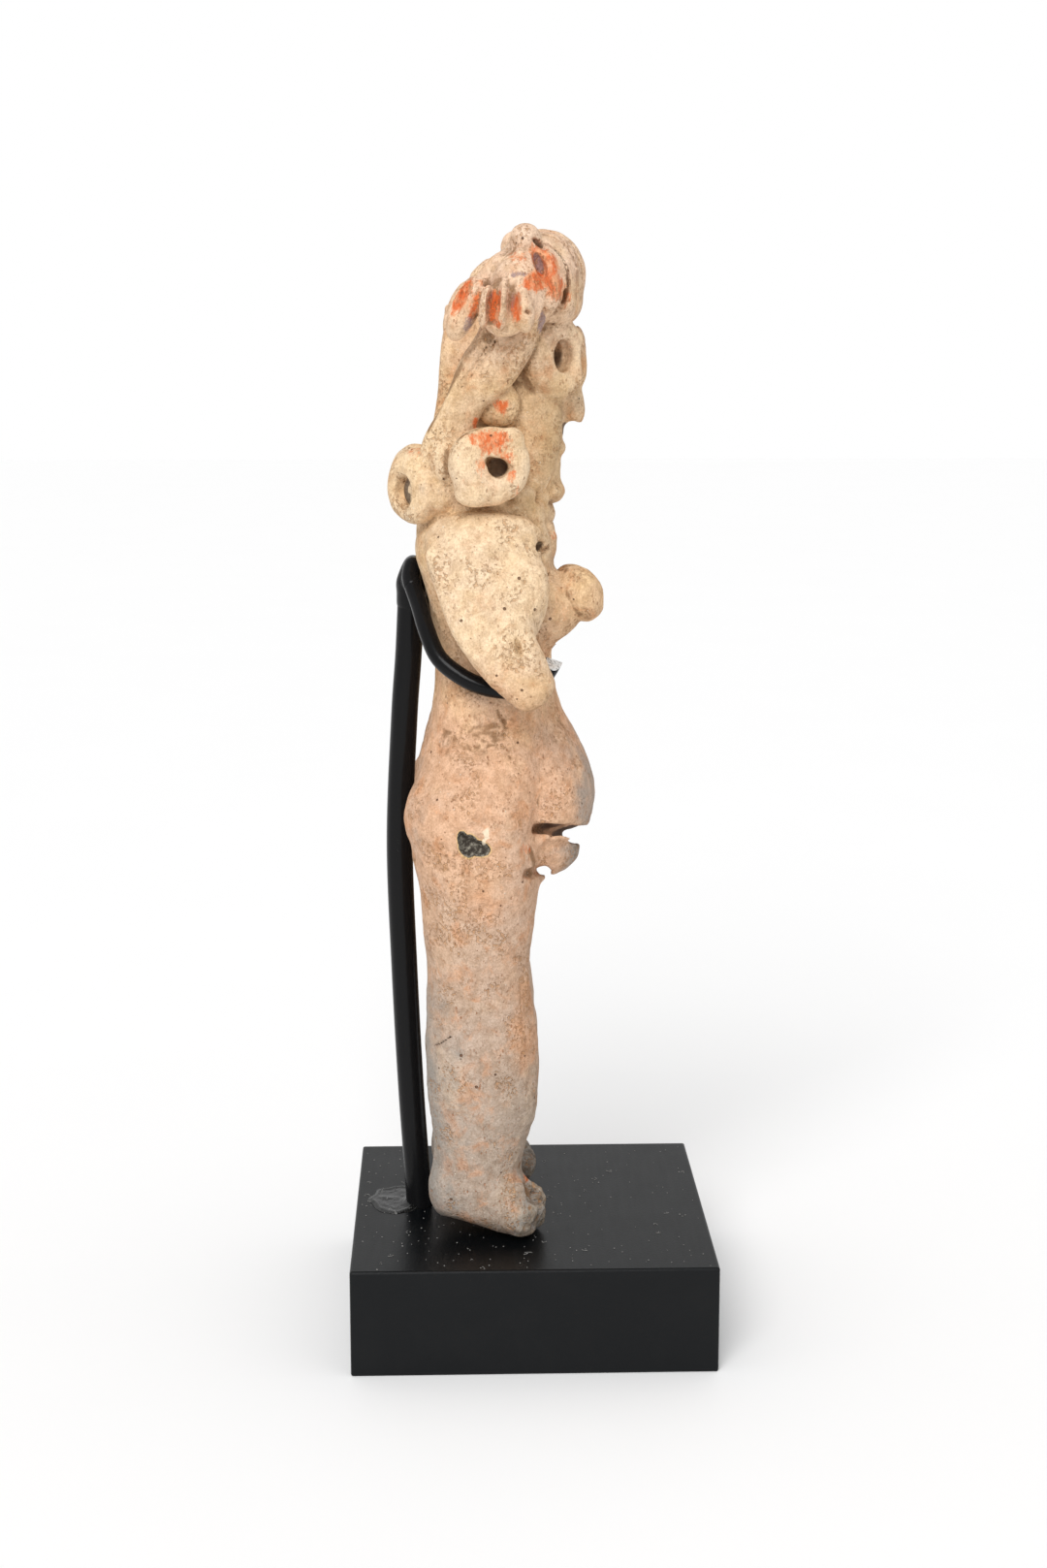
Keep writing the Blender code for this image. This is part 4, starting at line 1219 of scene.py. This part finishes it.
def add_weather(mesh, points, field):
    """Stores where dirt with painted shade in hollows and seams, wear, soot, paint, painted shade in holes,
    and the broken core show. points are in parts.
    """
    close = field.crowding(points, 0.9)
    wide = field.crowding(points, 3.0)
    x, y, z = points.T
    aside = np.abs(x)
    tread = ramp(z, 8.4, -3) * ramp(y, -5, -3) * 0.5
    back = ramp(y, -2, 9) * ramp(z, 58, -24)
    front = ramp(y, -12.5, -5) * ramp(z, 98, -10) * ramp(z, 60, 4)
    toes = ramp(y, -3.5, -4) * ramp(z, 9.5, -3)
    spine = ramp(y, 7, 4) * 0.3
    fold = ramp(y, -9, -3) * ramp(z, 71, -2) * ramp(z, 60, 2)
    arms = ramp(aside, 15.5, 4) * ramp(z, 96, 11) * ramp(z, 129, -4)
    spools = ramp(aside, 13, 4) * ramp(z, 127, 3) * ramp(z, 143, -3)
    rear_spools = ramp(y, 6, 4) * ramp(z, 122, 3) * ramp(z, 141, -4)
    mirrored = np.column_stack((aside, y, z))
    rightward = mirrored * (-1, 1, 1)
    masks = {
        # Partly dirt, partly painted shade: crowded hollows, the seams, and the underside of the toes.
        "hollow_dirt_and_shade": np.maximum((close - 0.56) * 2.8 + (wide - 0.62) * 2.0 + tread, seam_mask(mirrored)),
        "worn": (0.45 - close) * 4.0,
        "soot": 0.62 * back + 0.74 * front + 0.45 * fold + 1.35 * toes + 0.4 * ramp(z, 3.5, -3) + spine,
        "warm": paint_mask(rightward, WARM),
        "ochre": paint_mask(rightward, OCHRE),
        "pale": np.maximum(arms, 0.8 * np.maximum(spools, rear_spools)),
        "red": both_sides(points, PAINT_RED, 0.7),
        "violet": both_sides(points, PAINT_VIOLET, 0.7),
        # Painted shade inside holes and slits, strongest where clay crowds round.
        "deep": paint_mask(mirrored, HOLE_SHADE) * ramp(wide, 0.40, 0.125),
        "core": paint_mask(points, BROKEN),
        "scratch": paint_mask(points, SCRATCH),
    }
    for name, values in masks.items():
        layer = mesh.attributes.new(name, "FLOAT", "POINT")
        layer.data.foreach_set("value", np.clip(values, 0, 1).astype(np.float32))


class FIGURE_OT_clay(bpy.types.Operator):
    """Model the clay figure and give it its fired, painted and weathered surface"""

    bl_idname = "figure.clay"
    bl_label = "Clay figure"

    def execute(self, context):
        clay = context.scene.figure_clay
        step = clay.grain * 1
        field = clay_figure(step)
        points, faces = field.skin()
        mesh = mesh_from("clay_figure", points, faces)
        put_lumps(mesh)
        figure = show("clay_figure", mesh)
        triangles = 2 * len(faces)
        if triangles > clay.face_limit:
            fewer = figure.modifiers.new("fewer faces", "DECIMATE")
            fewer.ratio = clay.face_limit / triangles
        figure = settled(figure)
        mesh = figure.data
        points = vertex_values(mesh)
        add_weather(mesh, points, field)
        # Nothing leaves the solid's own box.
        placed = np.clip(points * PART + np.array(FIGURE_ORIGIN), np.array(CLAY_LOW), np.array(CLAY_HIGH))
        mesh.vertices.foreach_set("co", placed.astype(np.float32).ravel())
        mesh.update()
        mesh.shade_smooth()
        mesh.materials.clear()
        mesh.materials.append(terracotta_material(clay))
        print("clay_figure has", sum(len(face.vertices) - 2 for face in mesh.polygons), "triangles")
        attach(figure, BODY)
        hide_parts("figure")
        return {"FINISHED"}


def trunk_skin(turn, height):
    """A point on the trunk's left half, turn degrees round from the back."""
    _, front, back, half_width = row_at(TRUNK, height)
    power = corner_power(TRUNK_SQUARENESS)
    angle = math.radians(turn)
    along = math.copysign(abs(math.cos(angle)) ** power, math.cos(angle))
    side = half_width * math.sin(angle) ** power
    return Vector((side, (front + back) / 2 + (back - front) / 2 * along, height)) * PART


def rod_distance_back(height, diameter):
    """The rod's axis at a height in parts, behind the axis of the legs."""
    return row_at(ROD_BOW, height)[1] * PART + diameter / 2


def rod_route(stand):
    foot = STAND_LOW.z - FIGURE_ORIGIN.z
    back = rod_distance_back(0, stand.rod_diameter)
    route = [(0, back, foot)]
    for height, _ in ROD_BOW:
        route.append((0, rod_distance_back(height, stand.rod_diameter), height * PART))
    return smooth_rows(route, 12)


def wire_route(stand, side):
    """Centre line of a claw wire. It rises from the rod's top, bends over, and follows the trunk."""
    diameter = stand.wire_diameter
    stand_off = diameter / 2 + WIRE_FIT
    back = rod_distance_back(ROD_TOP, stand.rod_diameter)
    route = [
        (side * diameter * 0.3, back, (ROD_TOP - 4) * PART),
        (side * diameter * 0.3, back + 0.1 * PART, (ROD_TOP + 2) * PART),
        (side * diameter * 0.5, back - 0.3 * PART, (ROD_TOP + 3.7) * PART),
    ]
    for turn, height, slack in WIRE_COURSE:
        skin = trunk_skin(turn, height)
        ahead = trunk_skin(turn + 1, height) - skin
        out = Vector((-ahead.y, ahead.x, 0)).normalized()
        point = skin + out * (stand_off + slack * PART)
        route.append((side * point.x, point.y, point.z))
    return smooth_rows(route, 8)


def modifier_inputs(obj, name, inputs):
    """Starts a Geometry Nodes modifier and returns its inputs, which are named and given as (type, value)."""
    tree = bpy.data.node_groups.new(name, "GeometryNodeTree")
    kinds = {"Geometry": "NodeSocketGeometry"} | {label: kind for label, (kind, _) in inputs.items()}
    for label, kind in kinds.items():
        tree.interface.new_socket(label, in_out="INPUT", socket_type=kind)
    tree.interface.new_socket("Geometry", in_out="OUTPUT", socket_type="NodeSocketGeometry")
    modifier = obj.modifiers.new(name, "NODES")
    modifier.node_group = tree
    for item in tree.interface.items_tree:
        if item.name in inputs:
            modifier[item.identifier] = inputs[item.name][1]
    entry = tree.nodes.new("NodeGroupInput")
    return {socket.name: Signal(tree, socket) for socket in entry.outputs if socket.name}


def end_tree(geometry, material):
    """Ends a tree in Realize Instances, Set Material and the output."""
    real = geometry.node("GeometryNodeRealizeInstances", {}, {0: geometry})
    painted = real.node("GeometryNodeSetMaterial", {}, {"Geometry": real, "Material": material})
    painted.node("NodeGroupOutput", {}, {0: painted})


def round_bar(name, routes, diameter, sides, material):
    """Bars of round section along routes, made by Geometry Nodes and settled into one mesh."""
    curve = bpy.data.curves.new(name, "CURVE")
    curve.dimensions = "3D"
    for route in routes:
        spline = curve.splines.new("POLY")
        spline.points.add(len(route) - 1)
        for point, place in zip(spline.points, route):
            point.co = (*(Vector(place) + FIGURE_ORIGIN), 1)
    obj = show(name, curve)
    inputs = {
        "Diameter": ("NodeSocketFloat", diameter),
        "Sides": ("NodeSocketInt", sides),
        "Step": ("NodeSocketFloat", diameter / 5),
        "Material": ("NodeSocketMaterial", material),
    }
    sockets = modifier_inputs(obj, name + "_bar", inputs)
    line = sockets["Geometry"]
    values = {"Curve": line, "Length": sockets["Step"]}
    even = line.node("GeometryNodeResampleCurve", {"mode": "LENGTH"}, values)
    ring = circle(line, sockets["Sides"], sockets["Diameter"] * 0.5)
    end_tree(swept(even, ring), sockets["Material"])
    return settled(obj)


def circle(graph, sides, radius):
    values = {"Resolution": sides, "Radius": radius}
    return graph.node("GeometryNodeCurvePrimitiveCircle", {"mode": "RADIUS"}, values)


def swept(line, section):
    values = {"Curve": line, "Profile Curve": section, "Fill Caps": True}
    return line.node("GeometryNodeCurveToMesh", {}, values)


def paint_material(stand):
    material, place = start_material("black_stand_paint")
    scuffs = between(noise(place, 2.2, 6, 0.75), 0.62, 0.74)
    dust = dots(place, 2.4, 0.3, 0.11)
    colour = mixed(scuffs * 0.35, tuple(stand.paint), (0.03, 0.03, 0.03))
    colour = mixed(dust * 0.6, colour, tuple(stand.dust))
    rough = 0.18 + scuffs * 0.2 + noise(place, 0.35) * 0.06 + dust * 0.3
    values = {"Base Color": colour, "Roughness": rough, "Specular IOR Level": 0.14}
    return finish_surface(material, values, noise(place, 1.1), 0.03)


def metal_and_glint_material(stand):
    material, place = start_material("cut_metal_and_glint")
    marks = noise(place, 0.5, 4)
    # The bright colour with little metallic is partly a painted reflection, so the cut faces stay bright
    # where the figure shades them.
    colour = mixed(between(marks, 0.4, 0.7), tuple(stand.metal), (0.30, 0.30, 0.29))
    rough = 0.25 + marks * 0.2
    values = {"Base Color": colour, "Roughness": rough, "Metallic": 0.3, "Specular IOR Level": 0.8}
    return finish_surface(material, values, marks, 0.05)


def joined(name, objects):
    """Puts the meshes of several objects into one."""
    with bpy.context.temp_override(
        active_object=objects[0], selected_editable_objects=objects, selected_objects=objects
    ):
        bpy.ops.object.join()
    objects[0].name = name
    objects[0].data.name = name
    return objects[0]


def tapering(route, radius, bury, ends):
    """Stations of even radius along a route. The ends that are named shrink inside the bar by bury."""
    radii = [radius] * len(route)
    for end in ends:
        radii[end] -= bury
    return [(*(c / PART for c in place), r, r) for place, r in zip(route, radii)]


def braze(stand, routes, material):
    """The metal that ran between the rod's top and the two wires when they were brazed."""
    field = SkinField(*BRAZE_GRID, BRAZE_STEP)
    rod_radius = stand.rod_diameter / 2 / PART
    wire_radius = stand.wire_diameter / 2 / PART
    top = [place for place in rod_route(stand) if place[2] > (ROD_TOP - 5) * PART]
    field.add(Limb(tapering(top, rod_radius + 0.1, 0.6, (0,)), steps=1), 0.1)
    field.add(Pellet(0, top[-1][1] / PART, ROD_TOP + 0.6, rod_radius, rod_radius, 2.3), 1.0)
    for route in routes:
        bend = [place for place in route if abs(place[0]) < 4.8 * PART and place[2] > (ROD_TOP - 3) * PART]
        field.add(Limb(tapering(bend, wire_radius + 0.08, 0.5, (0, -1)), steps=1), 1.6)
    points, faces = field.skin()
    piece = show("braze", mesh_from("braze", points * PART + np.array(FIGURE_ORIGIN), faces))
    piece.data.materials.append(material)
    return piece


# The planes of the two snips, as the way each faces on the left wire and how far back it starts, in
# millimetres; the right wire mirrors them.
TIP_CUTS = (((0.42, -0.52, 0.74), 0.3), ((-0.85, 0.26, 0.46), 0.7))
TIP_REACH = 0.006


def cut_tips(mesh, metal):
    """Snips the wires' front ends to a wedge with two bare faces."""
    shape = bmesh.new()
    shape.from_mesh(mesh)
    caps = [face for face in shape.faces if len(face.verts) > 4 and face.calc_center_median().y < SETBACK]
    tips = [(face.calc_center_median(), face.normal.copy()) for face in caps]
    for centre, outward in tips:
        side = math.copysign(1, centre.x)
        for facing, back in TIP_CUTS:
            near = [face for face in shape.faces if (face.calc_center_median() - centre).length < TIP_REACH]
            parts = {part for face in near for part in (face, *face.edges, *face.verts)}
            slope = Vector((side * facing[0], *facing[1:])).normalized()
            place = centre - outward * back * MILLIMETRE
            cut = bmesh.ops.bisect_plane(
                shape, geom=list(parts), plane_co=place, plane_no=slope, clear_outer=True
            )
            rim = [part for part in cut["geom_cut"] if isinstance(part, bmesh.types.BMEdge)]
            for face in bmesh.ops.contextual_create(shape, geom=rim)["faces"]:
                face.material_index = metal
    bmesh.ops.recalc_face_normals(shape, faces=shape.faces)
    shape.to_mesh(mesh)
    shape.free()


class FIGURE_OT_claw_stand(bpy.types.Operator):
    """Make the bowed rod and the two claw wires, with their brazed joint and cut tips"""

    bl_idname = "figure.claw_stand"
    bl_label = "Claw stand"

    def execute(self, context):
        stand = context.scene.figure_stand
        paint = paint_material(stand)
        rod = round_bar("rod", [rod_route(stand)], stand.rod_diameter, stand.sides, paint)
        routes = [wire_route(stand, side) for side in SIDES]
        wires = round_bar("wires", routes, stand.wire_diameter, stand.sides, paint)
        piece = joined("claw_stand_finish", [rod, wires, braze(stand, routes, paint)])
        mesh = piece.data
        mesh.materials.append(metal_and_glint_material(stand))
        cut_tips(mesh, len(mesh.materials) - 1)
        mesh.shade_smooth()
        mesh.set_sharp_from_angle(angle=math.radians(38))
        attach(piece, BODY)
        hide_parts("claw_stand")
        return {"FINISHED"}


def block_material(stand):
    material, place = start_material("black_block_lacquer")
    cloudy = noise(place, 9, 4)
    wipes = noise(stretched(place, (0.12, 1, 1)), 1.2, 4)
    dust = dots(place, 3.2, 0.22, 0.13)
    colour = mixed(between(cloudy, 0.4, 0.7) * 0.4, tuple(stand.block), (0.0045, 0.005, 0.0055))
    for specks in (dust, dots(place, 1.1, 0.10, 0.06)):
        colour = mixed(specks * 0.5, colour, tuple(stand.dust))
    rough = 0.32 + (cloudy - 0.5) * 0.12 + (wipes - 0.5) * 0.10 + dust * 0.3
    values = {"Base Color": colour, "Roughness": rough, "Specular IOR Level": 0.21}
    return finish_surface(material, values, noise(place, 0.5, 4), 0.02)


class FIGURE_OT_block(bpy.types.Operator):
    """Finish the block in satin black"""

    bl_idname = "figure.block"
    bl_label = "Block"

    def execute(self, context):
        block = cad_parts["block"]
        material = block_material(context.scene.figure_stand)
        block.data.materials.clear()
        block.data.materials.append(material)
        return {"FINISHED"}


GLUE_CENTRE = (0.0023, 0.0242)
GLUE_HALF = (0.0073, 0.0053)
GLUE_DEPTH = 0.0004
GLUE_RINGS = 26
GLUE_SPOKES = 96


def glue_height(points, share, rod_radius):
    """How high the glue stands at points (x, y): a ragged rim, ripples, and a rise up the rod."""
    away = np.hypot(points[:, 0], points[:, 1] - (SETBACK + rod_distance_back(0, 2 * rod_radius)))
    rise = 0.0008 * np.exp(-np.maximum(away - rod_radius, 0) / 0.0006)
    flat = np.column_stack((points, np.zeros(len(points)))) / MILLIMETRE
    ripple = 0.75 + 0.35 * noise_at(flat, 1.6, 11) + 0.2 * noise_at(flat, 0.7, 12)
    bank = 1 + 0.9 * np.exp(-(((share - 0.86) / 0.07) ** 2))
    edge = np.sqrt(np.clip(1 - share**2, 0, 1))
    return GLUE_DEPTH * ripple * bank * edge + rise * edge


def glue_material(stand):
    """Clear glue gone black and glossy, with a whitish haze where it was smeared."""
    material, place = start_material("smeared_glue")
    smear = noise(stretched(place, (0.35, 1.0, 1.0)), 1.3, 5, 0.7, 0.8)
    haze = between(smear, 0.55, 0.70)
    colour = mixed(haze * 0.5, (0.004, 0.004, 0.004), tuple(stand.dust))
    values = {"Base Color": colour, "Roughness": 0.07 + haze * 0.3, "Specular IOR Level": 0.5}
    return finish_surface(material, values, smear, 0.12)


class FIGURE_OT_glue(bpy.types.Operator):
    """Make the low puddle of glue round the rod's foot"""

    bl_idname = "figure.glue"
    bl_label = "Glue"

    def execute(self, context):
        stand = context.scene.figure_stand
        rings, spokes = np.meshgrid(np.arange(1, GLUE_RINGS + 1), np.arange(GLUE_SPOKES), indexing="ij")
        angles = 2 * math.pi * spokes.ravel() / GLUE_SPOKES
        share = rings.ravel() / GLUE_RINGS
        around = np.column_stack((np.cos(angles), np.sin(angles), np.zeros(len(angles))))
        reach = share * (1 + 0.10 * noise_at(around * 3, 1.1, 13))
        flat = np.array(GLUE_CENTRE) + around[:, :2] * np.array(GLUE_HALF) * reach[:, None]
        share = np.append(share, 0)
        flat = np.vstack((flat, GLUE_CENTRE))
        top = glue_height(flat, share, stand.rod_diameter / 2)
        points = np.column_stack((flat, BLOCK_HIGH.z + top))
        grid = np.arange(GLUE_RINGS * GLUE_SPOKES).reshape(GLUE_RINGS, GLUE_SPOKES)
        next_spoke = np.roll(grid, -1, axis=1)
        quads = np.stack((grid[:-1], grid[1:], next_spoke[1:], next_spoke[:-1]), -1).reshape(-1, 4)
        middle = len(points) - 1
        fan = [(middle, first, second) for first, second in zip(grid[0].tolist(), next_spoke[0].tolist())]
        mesh = bpy.data.meshes.new("glue_puddle")
        mesh.from_pydata(points.tolist(), [], [*quads.tolist(), *fan, grid[-1, ::-1].tolist()])
        mesh.shade_smooth()
        mesh.materials.append(glue_material(stand))
        puddle = show("glue_puddle", mesh)
        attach(puddle, BODY)
        return {"FINISHED"}


def dust_material(stand):
    material, place = start_material("pale_dust")
    tone = noise(place, 0.4)
    colour = mixed(between(tone, 0.35, 0.65), tuple(stand.dust), blended(stand.dust, (0, 0, 0), 0.4))
    values = {"Base Color": colour, "Roughness": 0.85 + tone * 0.1, "Specular IOR Level": 0.2}
    return finish_surface(material, values)


def flat_sheet(name, low, high, height):
    """A level rectangle between two corners."""
    corners = ((low[0], low[1]), (high[0], low[1]), (high[0], high[1]), (low[0], high[1]))
    points = np.array([(x, y, height) for x, y in corners], float)
    return show(name, mesh_from(name, points, np.array([(0, 1, 2, 3)])))


class FIGURE_OT_dust(bpy.types.Operator):
    """Scatter dust flakes and lint on the block's top with Geometry Nodes"""

    bl_idname = "figure.dust"
    bl_label = "Dust"

    def execute(self, context):
        stand = context.scene.figure_stand
        margin = Vector((MILLIMETRE, MILLIMETRE, 0))
        sheet = flat_sheet("block_dust", BLOCK_LOW + margin, BLOCK_HIGH - margin, BLOCK_HIGH.z)
        inputs = {
            "Flakes": ("NodeSocketFloat", stand.flakes),
            "Lint": ("NodeSocketFloat", stand.lint),
            "Flake size": ("NodeSocketFloat", 0.11 * MILLIMETRE),
            "Lint length": ("NodeSocketFloat", 0.7 * MILLIMETRE),
            "Seed": ("NodeSocketInt", stand.seed),
            "Material": ("NodeSocketMaterial", dust_material(stand)),
        }
        sockets = modifier_inputs(sheet, "dust", inputs)
        ground, seed = sockets["Geometry"], sockets["Seed"]

        def random_between(low, high, draw=seed):
            """A random vector for each point, between two vectors."""
            values = {0: low, 1: high, "Seed": draw}
            return ground.node("FunctionNodeRandomValue", {"data_type": "FLOAT_VECTOR"}, values)

        where = scaled(ground.node("GeometryNodeInputPosition"), 1 / MILLIMETRE)
        clusters = between(noise(where, 9), 0.48, 0.66)
        flake_values = {"Radius": sockets["Flake size"], "Subdivisions": 1}
        flake = ground.node("GeometryNodeMeshIcoSphere", {}, flake_values)
        arc_values = {"Resolution": 8, "Radius": sockets["Lint length"], "Sweep Angle": math.radians(110)}
        arc = ground.node("GeometryNodeCurveArc", {"mode": "RADIUS"}, arc_values)
        thread = swept(arc, circle(ground, 4, 0.035 * MILLIMETRE))
        turn = random_between((0, 0, 0), (0, 0, 2 * math.pi), seed + 5)
        flake_scale = random_between((0.5, 0.5, 0.3), (1.7, 1.1, 0.7))
        lint_scale = random_between((0.5, 0.3, 1.0), (1.5, 1.2, 1.0))
        laid = []
        for kind, shape, scale in (("Flakes", flake, flake_scale), ("Lint", thread, lint_scale)):
            values = {"Mesh": ground, "Density": sockets[kind] * (0.06 + clusters), "Seed": seed}
            spots = ground.node("GeometryNodeDistributePointsOnFaces", {}, values)
            values = {"Points": spots, "Instance": shape, "Rotation": turn, "Scale": scale}
            laid.append(ground.node("GeometryNodeInstanceOnPoints", {}, values))
        together = ground.node("GeometryNodeJoinGeometry")
        for part in reversed(laid):
            fill(together.socket.node, {0: part})
        values = {"Geometry": together, "Translation": (0, 0, 0.05 * MILLIMETRE)}
        end_tree(ground.node("GeometryNodeTransform", {}, values), sockets["Material"])
        dust = settled(sheet)
        print("block_dust has", len(dust.data.polygons), "faces")
        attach(dust, BODY)
        return {"FINISHED"}


class FIGURE_OT_stage(bpy.types.Operator):
    """Set the pale floor, the soft lights, the surroundings and the camera"""

    bl_idname = "figure.stage"
    bl_label = "Stage"

    def execute(self, context):
        stage = context.scene.figure_stage
        floor = flat_sheet("floor", (-FLOOR_HALF, -FLOOR_HALF), (FLOOR_HALF, FLOOR_HALF), 0)
        material, place = start_material("pale_floor")
        tint = mixed(noise(place, 60), tuple(stage.floor), blended(stage.floor, (0, 0, 0), 0.015))
        floor.data.materials.append(finish_surface(material, {"Base Color": tint, "Roughness": 0.7}))
        world = bpy.data.worlds.new("white_surroundings")
        world.use_nodes = True
        seen = Signal(world.node_tree).node("ShaderNodeLightPath")
        strength = stage.room + seen * (stage.backdrop - stage.room)
        fill(world.node_tree.nodes["Background"], {"Color": (1, 1, 1, 1), "Strength": strength})
        context.scene.world = world
        lamp = bpy.data.lights.new("key_light", "SUN")
        lamp.energy = stage.key_strength
        lamp.angle = stage.key_spread
        light = bpy.data.objects.new("key_light", lamp)
        light.rotation_euler = Vector(KEY_DIRECTION).to_track_quat("-Z", "Y").to_euler()
        context.scene.collection.objects.link(light)
        context.scene.view_settings.view_transform = "Standard"
        add_camera(context.scene, stage.lens)
        return {"FINISHED"}


def add_camera(scene, lens):
    turn, dip = math.radians(CAMERA_TURN), math.radians(CAMERA_DIP)
    ahead = Vector((math.cos(dip) * math.cos(turn), -math.cos(dip) * math.sin(turn), -math.sin(dip)))
    camera = bpy.data.objects.new("camera", bpy.data.cameras.new("camera"))
    camera.data.lens = lens
    camera.data.sensor_width = SENSOR_WIDTH
    camera.location = Vector(CAMERA_PLACE) + Vector((0, 0, BLOCK_HIGH.z))
    camera.rotation_euler = ahead.to_track_quat("-Z", "Y").to_euler()
    scene.collection.objects.link(camera)
    scene.camera = camera


class FIGURE_PT_panel(bpy.types.Panel):
    """The pieces of the figure and its stage, with the sizes and colours that they take"""

    bl_idname = "FIGURE_PT_panel"
    bl_label = "Fertility figure"
    bl_space_type = "VIEW_3D"
    bl_region_type = "UI"
    bl_category = "Figure"

    def draw(self, context):
        for settings in (context.scene.figure_clay, context.scene.figure_stand, context.scene.figure_stage):
            box = self.layout.box()
            for name in type(settings).__annotations__:
                box.prop(settings, name)
        for operator in OPERATORS:
            self.layout.operator(operator.bl_idname)


SETTINGS = {"figure_clay": FigureClay, "figure_stand": FigureStand, "figure_stage": FigureStage}
OPERATORS = (
    FIGURE_OT_clay,
    FIGURE_OT_claw_stand,
    FIGURE_OT_block,
    FIGURE_OT_glue,
    FIGURE_OT_dust,
    FIGURE_OT_stage,
)


def register():
    for name, group in SETTINGS.items():
        bpy.utils.register_class(group)
        setattr(bpy.types.Scene, name, bpy.props.PointerProperty(type=group))
    for cls in (*OPERATORS, FIGURE_PT_panel):
        bpy.utils.register_class(cls)


def unregister():
    for cls in (FIGURE_PT_panel, *reversed(OPERATORS)):
        bpy.utils.unregister_class(cls)
    for name, group in SETTINGS.items():
        delattr(bpy.types.Scene, name)
        bpy.utils.unregister_class(group)


def main():
    register()
    bpy.ops.figure.clay()
    bpy.ops.figure.claw_stand()
    bpy.ops.figure.block()
    bpy.ops.figure.glue()
    bpy.ops.figure.dust()
    bpy.ops.figure.stage()


if __name__ == "__main__":
    main()
